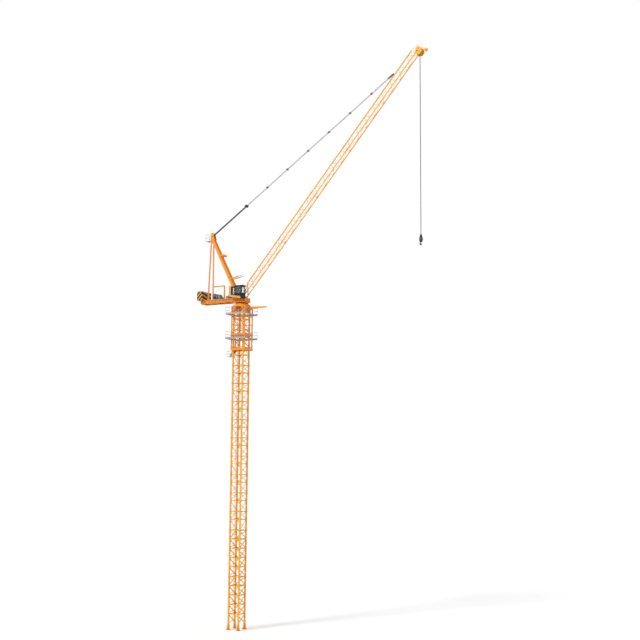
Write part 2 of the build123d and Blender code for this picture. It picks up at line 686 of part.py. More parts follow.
def cab_body(inset):
    """The cab's closed form drawn in by an inset: its side outline met by its plan."""
    rear = CAB_REAR + CAB_POST
    chin = cab_floor(CAB_BEAM_END) - CAB_BEAM
    side = make_face(Polyline(
        (rear, cab_floor(rear)), (CAB_BEAM_END, cab_floor(CAB_BEAM_END)), (CAB_BEAM_END, chin),
        (CAB_FRONT - CAB_CHIN, chin), (CAB_FRONT, FLOOR_TOP + CAB_SILL), (CAB_FRONT - CAB_BROW, CAB_ROOF),
        (rear, CAB_ROOF), close=True,
    ))
    plan = make_face(Polyline(
        (rear, CAB_NEAR), (CAB_FRONT - CAB_CORNER, CAB_NEAR), (CAB_FRONT, CAB_NEAR + CAB_CORNER),
        (CAB_FRONT, CAB_FAR - CAB_CORNER), (CAB_FRONT - CAB_CORNER, CAB_FAR), (rear, CAB_FAR), close=True,
    ))
    if inset:
        side = offset(side, -inset, kind=Kind.INTERSECTION)
        plan = offset(plan, -inset, kind=Kind.INTERSECTION)
    return upright((0, (CAB_NEAR + CAB_FAR) / 2, 0), side, CAB_WIDTH) & extrude(plan, CAB_ROOF + CAB_HEIGHT)


def cab_windows():
    """Cutters for the slit and side windows and for the front pane that wraps both corners."""
    header = CAB_ROOF - CAB_HEADER
    sill = FLOOR_TOP + CAB_SILL
    side_end = CAB_SIDE_START + CAB_SIDE_WIDTH
    slit_end = CAB_SLIT_START + CAB_SLIT_WIDTH
    return [
        block((CAB_SLIT_START, CAB_NEAR, FLOOR_TOP + CAB_SLIT_SILL), (slit_end, CAB_FAR, header)),
        block((CAB_SIDE_START, CAB_NEAR, sill), (side_end, CAB_FAR, header)),
        block((side_end + CAB_PILLAR, CAB_NEAR, sill), (CAB_FRONT, CAB_FAR, header)),
    ]


def cab_cradle():
    """The bent band that holds the cab: roof arm, rear post and sloping floor beam."""
    rear, inner = CAB_REAR, CAB_REAR + CAB_POST
    profile = make_face(Polyline(
        (CAB_ARM_END, CAB_ROOF + CAB_ARM), (rear, CAB_ROOF + CAB_ARM), (rear, cab_floor(rear) - CAB_BEAM),
        (CAB_BEAM_END, cab_floor(CAB_BEAM_END) - CAB_BEAM), (CAB_BEAM_END, cab_floor(CAB_BEAM_END)),
        (inner, cab_floor(inner)), (inner, CAB_ROOF), (CAB_ARM_END, CAB_ROOF), close=True,
    ))
    heel = profile.vertices().sort_by_distance((rear, cab_floor(rear) - CAB_BEAM, 0))[0]
    profile = fillet(heel, CAB_BEND)
    return upright((0, (CAB_NEAR + CAB_FAR) / 2, 0), profile, CAB_WIDTH)


def build_cab():
    windows = cab_windows()
    save("cab_shell", cab_body(0) - cab_body(CAB_WALL) - windows)
    panes = cab_body(GLASS_SETBACK) - cab_body(GLASS_SETBACK + GLASS_THICKNESS)
    glazing = [solid for window in windows for solid in (panes & window).solids()]
    save("cab_glazing", *glazing)
    save("cab_roof", block(
        (CAB_ARM_END, CAB_NEAR - CAB_ROOF_LIP, CAB_ROOF),
        (CAB_FRONT - CAB_BROW + CAB_ROOF_LIP, CAB_FAR + CAB_ROOF_LIP, CAB_ROOF + CAB_ROOF_THICKNESS),
    ))
    half = CAB_BRACKET_WIDTH / 2
    rear_arm = block(
        (CAB_REAR_BRACKET - half, CAB_FAR, FLOOR_TOP),
        (CAB_REAR_BRACKET + half, CAB_FAR + CAB_REAR_BRACKET_REACH, FLOOR_TOP + CAB_BRACKET_DEPTH),
    )
    flange = DECK_TOP - GIRDER_FLANGE
    front_arm = block(
        (CAB_FRONT_BRACKET - half, CAB_FAR, flange - CAB_BRACKET_DEPTH),
        (CAB_FRONT_BRACKET + half, -GIRDER_Y - GIRDER_WEB / 2, flange),
    )
    save("cab_brackets", fused([cab_cradle(), rear_arm, front_arm]))


def frame_point(side, level):
    """A point on a front leg's axis, level running from its foot to its top under the head."""
    foot = Vector(FRAME_FRONT_X, side * FRAME_FRONT_SPREAD / 2, FLOOR_TOP + FRAME_FOOT_HEIGHT)
    top = Vector(HEAD.X, side * FRAME_TOP_SPREAD / 2, HEAD.Z - FRAME_HEAD_DROP)
    return foot + (top - foot) * level


def tie_point(side, z):
    """A point on a rear tie's axis at a given height."""
    top_y = FRAME_TOP_SPREAD / 2 + HEAD_PLATE / 2 + TIE_GAP + FRAME_REAR_WIDTH / 2
    foot = Vector(FRAME_REAR_X, side * FRAME_REAR_SPREAD / 2, FLOOR_TOP)
    top = Vector(tie_top().X, side * top_y, tie_top().Z)
    return foot + (top - foot) * ((z - foot.Z) / (top.Z - foot.Z))


def tie_top():
    """The pin line where the rear ties hang on the head."""
    return Vector(HEAD.X - TIE_PIN_SETBACK, 0, HEAD.Z - TIE_PIN_DROP)


def head_cheeks():
    """Two side plates drawn round the crown, the tie pin and the front shoe, with the sheave bore."""
    crown_setback = TIE_PIN_SETBACK + TIE_LUG_RADIUS - CROWN_RADIUS
    rounds = [
        Pos(-crown_setback, CROWN_RISE) * Circle(CROWN_RADIUS),
        Pos(SHOE_REACH, -SHOE_DROP) * Circle(SHOE_RADIUS),
        Pos(-TIE_PIN_SETBACK, -TIE_PIN_DROP) * Circle(TIE_LUG_RADIUS),
    ]
    outline = make_hull([edge for spot in rounds for edge in spot.edges()])
    pieces = []
    for side in (-1, 1):
        y = side * FRAME_TOP_SPREAD / 2
        plate = upright((HEAD.X, y, HEAD.Z), outline, HEAD_PLATE)
        bore = cross_rod((HEAD.X, y, HEAD.Z), HEAD_PIN_RADIUS + PIVOT_CLEARANCE, 2 * HEAD_PLATE)
        pieces.append(plate - bore)
        pin_end = y + side * (HEAD_PLATE / 2 + FRAME_REAR_WIDTH + 2 * TIE_GAP)
        pin = tie_top()
        pieces.append(rod((pin.X, y, pin.Z), (pin.X, pin_end, pin.Z), TIE_PIN_RADIUS))
    return pieces


def build_a_frame():
    pieces = head_cheeks()
    for side in (-1, 1):
        foot, top = frame_point(side, 0), frame_point(side, 1)
        pieces.append(bar(foot, top, FRAME_FRONT_WIDTH, FRAME_FRONT_DEPTH, across=ACROSS))
        shoe_length = FRAME_FRONT_DEPTH + FRAME_FOOT_LIP
        shoe = Box(shoe_length, FRAME_FRONT_WIDTH, FRAME_SHOE_RISE, align=BOTTOM_UP)
        pieces.append(Pos(foot.X, foot.Y, FLOOR_TOP) * shoe)
    for k in range(FRAME_RUNG_COUNT):
        level = (k + 0.5) / FRAME_RUNG_COUNT
        pieces.append(bar(frame_point(-1, level), frame_point(1, level), FRAME_RUNG))
    save("a_frame_front_legs", fused(pieces))
    shaft = cross_rod(HEAD, HEAD_PIN_RADIUS, FRAME_TOP_SPREAD + HEAD_PLATE)
    save("a_frame_sheave", fused([cross_rod(HEAD, HEAD_SHEAVE_RADIUS, HEAD_SHEAVE_WIDTH), shaft]))


def build_rear_ties():
    ties = []
    for side in (-1, 1):
        top = tie_point(side, tie_top().Z)
        foot = tie_point(side, FLOOR_TOP)
        shoe = Pos(foot) * Box(FRAME_REAR_SHOE, FRAME_REAR_WIDTH, FRAME_REAR_SHOE, align=BOTTOM_UP)
        start = tie_point(side, FLOOR_TOP + FRAME_REAR_WIDTH)
        knee = tie_point(side, top.Z - TIE_NECK)
        knee = Vector(knee.X, top.Y, knee.Z)
        stem = bar(start, knee, FRAME_REAR_WIDTH, across=ACROSS)
        neck = bar(knee, top, FRAME_REAR_WIDTH, across=ACROSS)
        tie = fused([stem, neck, shoe, cross_rod(top, TIE_EYE_RADIUS, FRAME_REAR_WIDTH)])
        ties.append(tie - cross_rod(top, TIE_PIN_RADIUS + PIVOT_CLEARANCE, 2 * FRAME_REAR_WIDTH))
    save("a_frame_rear_ties", *ties)


def build_head_platform():
    """Small railed floor behind the A-frame head."""
    floor = HEAD.Z - HEAD_FLOOR_DROP
    front = HEAD.X - TIE_PIN_SETBACK - TIE_LUG_RADIUS
    rear = front - HEAD_FLOOR_LENGTH
    half = HEAD_FLOOR_WIDTH / 2
    plate = block((rear, -half, floor - PLATFORM_THICKNESS), (front, half, floor))
    edge = half - RAIL_WIDTH / 2
    front_edge, rear_edge = front - RAIL_WIDTH / 2, rear + RAIL_WIDTH / 2
    line = [(front_edge, -edge), (rear_edge, -edge), (rear_edge, edge), (front_edge, edge)]
    save("head_platform", fused([plate] + railing(line, floor, RAIL_HEIGHT)))


def leg_slope():
    """How far a front leg runs back for each unit that it rises."""
    axis = frame_point(1, 1) - frame_point(1, 0)
    return -axis.X / axis.Z


def leg_face(side, level, radius, angle):
    """The point where a bar of that radius and rise meets a front leg's face, just clear of it."""
    lean = atan2(leg_slope(), 1)
    ahead = (FRAME_FRONT_DEPTH / 2 + STOP_GAP + radius * sin(lean - radians(angle))) / cos(lean)
    return frame_point(side, level) + Vector(ahead, 0, 0)


def build_jib_stops():
    """Telescopic stop rods and buffers on the A-frame's front legs, facing the jib."""
    rise = Vector(cos(radians(STOP_ANGLE)), 0, sin(radians(STOP_ANGLE)))
    stops = []
    for side in (-1, 1):
        start = leg_face(side, STOP_LEVEL, STOP_RADIUS, STOP_ANGLE)
        middle = start + rise * STOP_BARREL
        stops.append(fused([
            prism(start, middle, STOP_RADIUS, STOP_SIDES),
            prism(middle, middle + rise * STOP_ROD, STOP_ROD_RADIUS, STOP_SIDES),
        ]))
        start = leg_face(side, BUFFER_LEVEL, BUFFER_RADIUS, 0)
        stops.append(prism(start, start + Vector(BUFFER_LENGTH, 0, 0), BUFFER_RADIUS, STOP_SIDES))
    save("jib_stops", *stops)


def build_jib_brackets():
    """Ears on the deck with the pins that carry the jib's feet."""
    brackets = []
    ear_offset = JIB_CHORD / 2 + LUG_GAP + LUG_THICKNESS / 2
    for side in (-1, 1):
        y = side * JIB_WIDTH / 2
        pieces = [cross_rod((PIVOT.X, y, PIVOT.Z), PIVOT_RADIUS, 2 * ear_offset + LUG_THICKNESS)]
        for ear in (-1, 1):
            ear_y = y + ear * ear_offset
            pieces.append(cross_rod((PIVOT.X, ear_y, PIVOT.Z), EYE_RADIUS, LUG_THICKNESS))
            pieces.append(block(
                (PIVOT.X - EYE_RADIUS, ear_y - LUG_THICKNESS / 2, FLOOR_TOP),
                (PIVOT.X + EYE_RADIUS, ear_y + LUG_THICKNESS / 2, PIVOT.Z),
            ))
        brackets.append(fused(pieces))
    save("jib_foot_brackets", *brackets)


def chord(index, s):
    """A point on one jib chord: the two lower ones, then the apex."""
    y, h = [(-JIB_WIDTH / 2, 0), (JIB_WIDTH / 2, 0), (0, JIB_HEIGHT)][index % 3]
    return Vector(s, y, h)


def jib_frame(s):
    """The triangle of bars that ties the three chords at one place."""
    return [bar(chord(k, s), chord(k + 1, s), JIB_LACE) for k in range(3)]


def jib_lattice(start, end):
    """Three chords laced in a zigzag, the underside at twice the pitch, with a frame at the lower end."""
    pieces = [bar(chord(k, start), chord(k, end), JIB_CHORD) for k in range(3)]
    first = start + JIB_LACE / 2
    pitch = (end - first) / JIB_PANELS
    for k, step in ((0, 2), (1, 1), (2, 1)):
        for panel in range(0, JIB_PANELS, step):
            low = first + panel * pitch + JIB_LACE_SETBACK
            high = first + (panel + step) * pitch - JIB_LACE_SETBACK
            turn = panel // step % 2
            pieces.append(bar(chord(k + turn, low), chord(k + 1 - turn, high), JIB_LACE))
    return pieces + jib_frame(first)


def jib_foot():
    """The wedge that brings the chords down to two eyes on the pivot."""
    pieces = []
    for k in range(2):
        pieces.append(bar(chord(k, 0), chord(k, JIB_FOOT_APEX), JIB_CHORD))
        pieces.append(bar(chord(k, JIB_RISER_START), chord(2, JIB_FOOT_APEX), JIB_CHORD))
        pieces.append(cross_rod(chord(k, 0), EYE_RADIUS, JIB_CHORD))
    middle = JIB_FOOT_APEX / 2
    pieces.append(bar(chord(0, middle), chord(1, middle), JIB_LACE))
    return pieces


def jib_head():
    """Head of the jib: side plates in line with the lower chords, a cover plate and a nose plate."""
    back, nose, shoulder = JIB_LENGTH - TIP_BACK, JIB_LENGTH + TIP_NOSE, JIB_LENGTH + TIP_SHOULDER
    outline = make_face(Polyline(
        (back, -JIB_CHORD / 2), (JIB_LENGTH - TIP_HEEL, -TIP_KEEL), (nose - TIP_NOSE_SLOPE, -TIP_KEEL),
        (nose, TIP_NOSE_SLOPE - TIP_KEEL), (nose, TIP_COVER), (shoulder, TIP_COVER),
        (back, JIB_CHORD / 2), close=True,
    ))
    pieces = [upright(chord(k, 0), outline, TIP_CHEEK) for k in range(2)]
    half = JIB_WIDTH / 2
    pieces.append(block((shoulder, -half, TIP_COVER - TIP_PLATE), (nose, half, TIP_COVER)))
    pieces.append(block((nose - TIP_PLATE, -half, 0), (nose, half, TIP_COVER)))
    return pieces + jib_frame(JIB_HEAD_APEX - JIB_LACE / 2)


def build_jib():
    pitch = (JIB_HEAD_APEX - JIB_FOOT_APEX) / JIB_SECTIONS
    for k in range(JIB_SECTIONS):
        start = JIB_FOOT_APEX + k * pitch
        pieces = jib_lattice(start, start + pitch)
        bores = []
        if k == 0:
            pieces += jib_foot()
            bore = PIVOT_RADIUS + PIVOT_CLEARANCE
            bores = [cross_rod(chord(side, 0), bore, 2 * JIB_CHORD) for side in range(2)]
        if k == JIB_SECTIONS - 1:
            pieces += jib_head()
            bores = [cross_rod((JIB_LENGTH, 0, 0), TIP_PIN_RADIUS + PIVOT_CLEARANCE, 2 * JIB_WIDTH)]
        section = fused(pieces)
        save(f"jib_section_{k + 1}", JIB_PLANE * (section - bores if bores else section))
    sheave = cross_rod((JIB_LENGTH, 0, 0), TIP_SHEAVE_RADIUS, TIP_SHEAVE_WIDTH)
    pin = cross_rod((JIB_LENGTH, 0, 0), TIP_PIN_RADIUS, JIB_WIDTH + TIP_CHEEK)
    save("jib_head_sheave", JIB_PLANE * fused([sheave, pin]))
    arm = JIB_LENGTH + TIP_NOSE + LAMP_ARM / 2
    lamp = Pos(JIB_LENGTH + LAMP_REACH, 0, -LAMP_DROP) * Box(LAMP_LENGTH, LAMP_WIDTH, LAMP_HEIGHT)
    save("tip_lamp", JIB_PLANE * fused([bar((arm, 0, -LAMP_DROP), (arm, 0, TIP_COVER / 2), LAMP_ARM), lamp]))


def line_start():
    """Where the luffing rope leaves the head sheave."""
    anchor = pendant_pin()
    lean = atan2(anchor.Z - HEAD.Z, anchor.X - HEAD.X)
    reach = HEAD_SHEAVE_RADIUS + ROPE_RADIUS + STOP_GAP
    return HEAD + Vector(-sin(lean), 0, cos(lean)) * reach


def pendant_pin():
    """The pin on the jib's apex chord that takes the pendants."""
    return JIB_PLANE.from_local_coords(Vector(PENDANT_ANCHOR, 0, JIB_HEIGHT + JIB_CHORD / 2 + PENDANT_LUG))


def build_luffing_gear():
    start, pin = line_start(), pendant_pin()
    run = (pin - start).normalized()
    falls = []
    for k in range(ROPE_FALLS):
        offset_y = ACROSS * ((k - (ROPE_FALLS - 1) / 2) * ROPE_PITCH)
        falls.append(prism(start + offset_y, start + run * ROPE_RUN + offset_y, ROPE_RADIUS, ROPE_SIDES))
    save("luffing_rope", *falls)
    seat = start + run * (ROPE_RUN + STOP_GAP)
    block_end = seat + run * BLOCK_LENGTH
    save("luffing_block", bar(seat, block_end, BLOCK_WIDTH, BLOCK_HEIGHT))
    wide = PENDANT_SPACING + PENDANT_LINK
    bars = []
    for side in (-1, 1):
        offset_y = ACROSS * (side * PENDANT_SPACING / 2)
        bars.append(bar(block_end + offset_y, pin + offset_y, PENDANT_WIDTH))
    length = (pin - block_end).length
    for k in range(1, PENDANT_BARS):
        knot = block_end + run * (length * k / PENDANT_BARS)
        bars.append(bar(knot - run * PENDANT_LINK, knot + run * PENDANT_LINK, wide, PENDANT_LINK))
    bars.append(bar(pin - run * PENDANT_FITTING, pin + run * PENDANT_LINK, wide, FITTING_DEPTH))
    lug_foot = JIB_PLANE.from_local_coords(Vector(PENDANT_ANCHOR, 0, JIB_HEIGHT + JIB_CHORD / 2))
    bars.append(bar(lug_foot, pin, PENDANT_LINK))
    save("pendant_bars", fused(bars))


def hook_outline():
    """Side view of the hook: a crescent bowl open at one side, under a shank."""
    bowl = Circle(HOOK_RADIUS) - Pos(0, HOOK_THROAT_RISE) * Circle(HOOK_THROAT_RADIUS)
    mouth = Rectangle(HOOK_RADIUS, HOOK_RADIUS, align=(Align.MIN, Align.MIN))
    shank_height = HOOK_SHANK_LENGTH + HOOK_RADIUS - HOOK_THROAT_RADIUS - HOOK_THROAT_RISE
    shank = Rectangle(HOOK_SHANK_WIDTH, shank_height, align=(Align.CENTER, Align.MAX))
    return bowl - mouth + Pos(0, HOOK_RADIUS + HOOK_SHANK_LENGTH) * shank


def build_hoist():
    axis = JIB_PLANE.from_local_coords(Vector(JIB_LENGTH, 0, 0))
    x = axis.X + TIP_SHEAVE_RADIUS + HOIST_ROPE_RADIUS + STOP_GAP
    top = axis.Z - HOOK_BLOCK_DROP
    falls = []
    for side in (-1, 1):
        y = side * HOIST_FALL_SPACING / 2
        falls.append(prism((x, y, top + STOP_GAP), (x, y, axis.Z), HOIST_ROPE_RADIUS, ROPE_SIDES))
    save("hoist_rope", *falls)
    cone_foot = HOOK_BLOCK_HEIGHT - HOOK_CONE_HEIGHT
    profile = Polyline(
        (0, 0), (HOOK_BLOCK_RADIUS, 0), (HOOK_BLOCK_RADIUS, cone_foot), (HOOK_CONE_RADIUS, cone_foot),
        (HOOK_NECK_RADIUS, HOOK_BLOCK_HEIGHT), (0, HOOK_BLOCK_HEIGHT), close=True,
    )
    bottom = top - HOOK_BLOCK_HEIGHT
    save("hook_block", Pos(x, 0, bottom) * revolve(Plane.XZ * make_face(profile), Axis.Z))
    bowl = bottom - HOOK_GAP - HOOK_SHANK_LENGTH - HOOK_RADIUS
    save("hook", upright((x, 0, bowl), hook_outline(), HOOK_THICKNESS))


os.makedirs("parts", exist_ok=True)
build_mast()
build_slewing_support()
build_climbing_frame()
build_platforms()
build_climbing_gear()
build_pump_platform()
build_deck()
build_counterweight()
build_machinery()
build_cab()
build_a_frame()
build_rear_ties()
build_head_platform()
build_jib_stops()
build_jib_brackets()
build_jib()
build_luffing_gear()
build_hoist()
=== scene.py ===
import json
from math import atan2, cos, pi, radians, sin

import bmesh
import bpy
from mathutils import Matrix, Vector


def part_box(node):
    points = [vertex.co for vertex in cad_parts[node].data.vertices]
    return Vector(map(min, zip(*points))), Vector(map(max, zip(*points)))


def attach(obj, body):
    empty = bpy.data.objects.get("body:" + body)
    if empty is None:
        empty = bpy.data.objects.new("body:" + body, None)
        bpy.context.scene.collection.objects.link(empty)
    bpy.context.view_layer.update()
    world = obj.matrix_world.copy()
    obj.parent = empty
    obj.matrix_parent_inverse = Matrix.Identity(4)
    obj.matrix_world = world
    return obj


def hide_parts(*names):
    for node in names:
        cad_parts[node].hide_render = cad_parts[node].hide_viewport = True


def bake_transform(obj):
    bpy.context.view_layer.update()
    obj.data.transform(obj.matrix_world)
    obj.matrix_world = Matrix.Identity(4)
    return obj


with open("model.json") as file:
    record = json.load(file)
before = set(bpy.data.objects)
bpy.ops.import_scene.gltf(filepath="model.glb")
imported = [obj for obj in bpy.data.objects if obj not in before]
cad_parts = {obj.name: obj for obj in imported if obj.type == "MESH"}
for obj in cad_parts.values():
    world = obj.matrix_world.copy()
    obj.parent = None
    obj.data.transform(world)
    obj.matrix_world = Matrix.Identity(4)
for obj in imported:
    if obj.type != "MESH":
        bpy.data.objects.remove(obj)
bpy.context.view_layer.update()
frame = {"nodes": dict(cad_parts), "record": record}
NODES = frame["nodes"]

# Sizes are in millimetres, and each piece is turned into metres when it is placed
MM = 0.001
SIDES = (-1, 1)
ALONG = Vector((1, 0, 0))
ACROSS = Vector((0, 1, 0))
UP = Vector((0, 0, 1))

# Camera: its place and turn in the crane's frame, in metres and degrees
CAMERA_DISTANCE = 17.7516
CAMERA_HEIGHT = 2.7092
CAMERA_AZIMUTH = 32.488
CAMERA_YAW = -4.248
CAMERA_PITCH = 7.535
CAMERA_ROLL = 0.415
CAMERA_REACH = 200.0
SENSOR = 36.0
LENS = 59.9

# Light, with its angles in degrees, and the floor, in metres
SUN_POWER = 1.5
SUN_SOFTNESS = 12.0
SUN_TILT = 52.0
SUN_TURN = -22.0
SKY_LEVEL = 0.62
FLOOR_HALF = 60.0
FLOOR_DROP = 0.001
FLOOR_COLOUR = (0.9, 0.9, 0.9)
FLOOR_LIFT = 0.2

# Edges of bars and plates, and proportions of bolts
BAR_CHAMFER = 0.25
PLATE_LAYERS = ((-0.5, 0.985), (-0.3, 1), (0.3, 1), (0.5, 0.985))
WASHER = 1.5
WASHER_HEIGHT = 0.28
SHARP_ANGLE = 32.0

# Mast
LEG = 94.5
LEG_WIDTH = 22.0
BASE_FOOT = 100.0
BASE_HEIGHT = 743.0
BASE_COUNT = 2
BASE_PANELS = 5
SECTION_FOOT = 1586.0
SECTION_HEIGHT = 300.0
SECTION_COUNT = 12
SECTION_MIDDLE = 166.0
COLLAR = 29.0
COLLAR_HEIGHT = 16.0
JOINT_BAR = (9.0, 14.0)
PIN_RADIUS = 4.0
GUSSET_REACH = 26.0
GUSSET_RISE = 20.0
GUSSET_TIP = 7.0
GUSSET_THICKNESS = 3.0
LADDER_X = -60.0
LADDER_WIDTH = 42.0
LADDER_RAIL = 4.0
LADDER_RUNG = 1.5
LADDER_PITCH = 30.0
LADDER_FOOT = 112.0
LADDER_TOP = 5180.0
LADDER_STAY = 3.0
STAY_INSET = 6.0
FOOT_BOLT_SPACING = 46.0
FOOT_PLATE = 5.0
FOOT_NUT = 5.0

# Climbing frame, platforms and hydraulics
UPPER_FLOOR = 5139.0
LOWER_FLOOR = 4729.0
FLOOR_REACH = 190.0
CAGE_SIDE = 126.0
CAGE_FRONT = 144.0
CAGE_GAP = 6.0
GRATING_PITCH = 9.0
GRATING_BAR = 1.4
BEARING_LIFT = 0.7
CROSS_LIFT = 0.9
CROSS_SHARES = (0.12, 0.5, 0.88)
TOE_HEIGHT = 14.0
TOE_THICKNESS = 1.6
TOE_OUT = 1.0
FILLER_INSET = 10.0
PIPE_DROP = 12.0
PIPE_SPACING = 18.0
PIPE_TOP = 4520.0
PIPE_RADIUS = 2.0
YOKE_CHEEK = 29.0
YOKE_CHEEK_WIDTH = 20.0
YOKE_RISE = 30.0
YOKE_DROP = 30.0
YOKE_HALF = 46.0
YOKE_TAPER = 8.0
YOKE_MIDDLE = 11.0
YOKE_WEB = 12.0
YOKE_PIN_OUT = 16.0

# Slewing ring, deck and counterweight
RING_RADIUS = 98.0
RING_FOOT = 5312.0
RING_TOP = 5326.0
GEAR_TEETH = 90
GEAR_DEPTH = 4.5
GEAR_SINK = 0.5
GEAR_MARGIN = 2.0
TOOTH = ((0.0, 0.0), (0.2, GEAR_DEPTH), (0.45, GEAR_DEPTH), (0.65, 0.0))
DECK_BOTTOM = 5344.3
DECK_TOP = 5404.3
FLOOR_TOP = 5408.3
DECK_REAR = -779.0
DECK_FRONT = 112.0
DECK_HALF = 90.0
GIRDER_Y = 79.0
STIFFENERS = 13
STIFFENER_INSET = 24.0
STIFFENER_OUT = 6.6
STIFFENER_HALF = 4.2
STIFFENER_GAP = 5.0
STIFFENER_THICKNESS = 2.4
WALKWAY = (72.0, DECK_HALF - 1)
WALKWAY_FRONT = -160.0
WALKWAY_GAP = 4.0
SLAB_FRONT = -715.6
SLAB_PITCH = 25.8
SLAB_THICKNESS = 25.0
SLAB_COUNT = 4
SLAB_TOP = 5558.3
STRIPE_PITCH = 66.0
EYE_SPACING = 160.0
EYE_RADIUS = 9.0
EYE_WIRE = 2.0
CLAMP_SPACING = 208.0
CLAMP_DROPS = (30.0, 122.0)
CLAMP_NUT = 5.0

# Winches: place along the deck and axis height; drum radius, length and rim
HOIST_WINCH = (-512.0, 5465.3)
HOIST_DRUM = (42.0, 96.0, 52.0)
LUFF_WINCH = (-196.0, 5459.3)
LUFF_DRUM = (36.0, 90.0, 46.0)
DRUM_FLANGE = 5.0
DRUM_RIBS = 12
RIB_SHARES = (0.45, 0.94)
RIB_WIDTH = 3.0
RIB_CUT = 0.3
WINDING_PITCH = 5.4
WINDING_RADIUS = 2.6
WINDING_SINK = 0.7
MOTOR_REACH = 26.0
MOTOR_DROP = 20.0
MOTOR_FINS = 6
FIN_PITCH = 4.0
DRIVE_GAP = 4.0
DRIVE_LENGTH = 46.0
DRIVE_WIDTH = (-46.0, 30.0)
DRIVE_LAYERS = ((0, 0), (64, 0), (82, 6), (90, 15))
DRIVE_MOTOR = (22.0, 34.0)

# Cab
CAB_NEAR = -194.0
CAB_FAR = -94.0
CAB_MIDDLE = (CAB_NEAR + CAB_FAR) / 2
CAB_ROOF = 5588.3
CAB_FRONT = 146.0
BLIND_DEPTH = 7.0
BLIND_REAR = -60.0
BLIND_FRONT = -36.0
BLIND_SLATS = 22
SLAT_RISE = 2.2
LINING_GAP = 9.0
LINING_REAR = -80.0
LINING_FRONT = 66.0
LINING_RIBS = 7
DOOR_REAR = -14.0
DOOR_FRONT = 102.0
DOOR_FRAME = 2.2
HANDLE_RISE = 54.0
CAB_FLOOR = FLOOR_TOP + 22
SEAT_RISE = 42.0
SEAT_SIZE = (44.0, 44.0, 14.0)
BACKREST_RISE = 86.0
BACKREST_SIZE = (42.0, 62.0, 14.0)
BACKREST_LEAN = -0.14
STAND_SPACING = 62.0
PAD_PROFILE = (
    (0.1, 0.0), (0.86, 0.0), (0.97, 0.18), (1.0, 0.42),
    (0.97, 0.68), (0.84, 0.88), (0.5, 1.06), (0.1, 1.12),
)
PAD_SIDES = 32
PAD_CORNER = 5
PAD_PULL = 0.05

# Switch cabinet
DOOR_GAP = 4.0
DOOR_PLATE = 1.6
LOUVRES = 6
LOUVRE_PITCH = 4.0
CABINET_ROOF = 3.0

# A-frame
LEG_FOOT = (-58.0, 49.0, 5422.3)
LEG_TOP = (-590.0, 30.0, 6458.3)
LEG_DEPTH = 40.0
STEP_COUNT = 34
STEP_START = 0.04
STEP_PITCH = 0.026
STEP_HALF = 8.0
STEP_REACH = 7.0
STEP_WIRE = 1.1
SPLICE_LEVELS = (0.34, 0.67)
SPLICE_OUT = 12.0
SPLICE_SIZE = (30.0, 15.0)
STOP_LEVEL = 0.323
STOP_ANGLE = 10.0
STOP_START = 25.0
STOP_ROD = 144.0
BUFFER_LEVEL = 0.72
BUFFER_START = 23.0
HEAD = (-590.0, 0.0, 6512.3)
HEAD_SHEAVE = 20.0
HEAD_CHEEK = 33.0
TIE_FOOT = (-632.0, 70.0, FLOOR_TOP + 26)
TIE_TOP = (-616.5, 40.5, 6372.0)
TIE_LIP = (19.0, 3.0)
TIE_HALF = 6.5

# Jib
PIVOT = (60.0, 0.0, 5428.3)
PIVOT_CAP = 15.0
JIB_ANGLE = 49.6
JIB_HALF = 55.0
JIB_HEIGHT = 117.0
JIB_CHORD = 12.0
JIB_START = 211.0
JIB_END = 4851.0
JIB_SECTIONS = 5
JIB_PANELS = 8
JIB_LENGTH = 4885.0
SPLICE_BOX = 7.0
SPLICE_REACH = 20.0
SPLICE_PIN = 9.0
STRIP_WIDTH = 16.0
STRIP_THICKNESS = 2.4
STRIP_GAP = 24.0
LACING_GUSSET = ((-15, 4), (15, 4), (6, 17), (-6, 17))
TIP_SHEAVE = 26.0
TIP_CHEEK = 59.0
LAMP = (96.0, -91.0)
LENS_SIZE = (25.0, 22.0)
LENS_LAYERS = ((21, 0.84), (23, 0.82), (25, 0.7))
ARCH_START = 4850.0
ARCH_LENGTH = 157.0
ARCH_MIDDLE = 24.0
ARCH_RISE = 94.0
ARCH_STEPS = 18
ARCH_RADIUS = 2.4

# Luffing gear
PENDANT_ANCHOR = 4382.0
PENDANT_RISE = 137.0
PENDANT_SPACING = 22.0
PENDANT_BARS = 7
LINK_OUT = PENDANT_SPACING / 2 + 7
LINK_PIN = 5.0
LINK_TOP = 4.5
KNOT_REACH = 18.0
KNOT_SIZE = (4.0, 15.0)
FITTING_REACH = 118.0
FITTING_END = 8.0
FITTING_SIZE = (4.0, 12.0)
FITTING_BOLTS = (8, 40, 72, 104)
ROPE_RUN = 780.0
ROPE_RADIUS = 2.4
ROPE_FALLS = 7
ROPE_PITCH = 7.0
ROPE_GAP = 0.3
ROPE_CUT = 61.0
SHEAVE_GAP = 0.4
BLOCK_LENGTH = 50.0
BLOCK_CHEEK = 27.0
BLOCK_SHAFT = 22.0
BLOCK_SHEAVE = 15.0
BLOCK_HALF = 29.0
CROSSHEAD = 44.0
CROSSHEAD_HALF = 26.0

# Hoist line, hook block and hook
TIP_WRAP = 105.0
LUFF_RANGE = 65.0
WRAP_SINK = 0.1
SOCKET_BACK = 26.0
SOCKET_LEVEL = 11.0
FOOT_SHEAVE = 19.0
FOOT_SHAFT = 40.0
FOOT_WRAP = 105.0
LINE_SHEAVE_WIDTH = 9.5
HOIST_X = 3255.37
HOIST_TOP = 9148.41
HOIST_RADIUS = 3.0
HOIST_SPACING = 16.0
HOIST_STEPS = 360
HOIST_TWIST = 0.35
BLOCK_TOP = 6194.4
BLOCK_FOOT = 6094.4
BAND_BOLTS = 8
BAND_RADIUS = 28.5
BAND_LEVELS = (18.0, 32.0)
HOOK_DROP = 44.3
HOOK_RADIUS = 15.5
HOOK_SWEEP = 270.0
HOOK_STEPS = 28

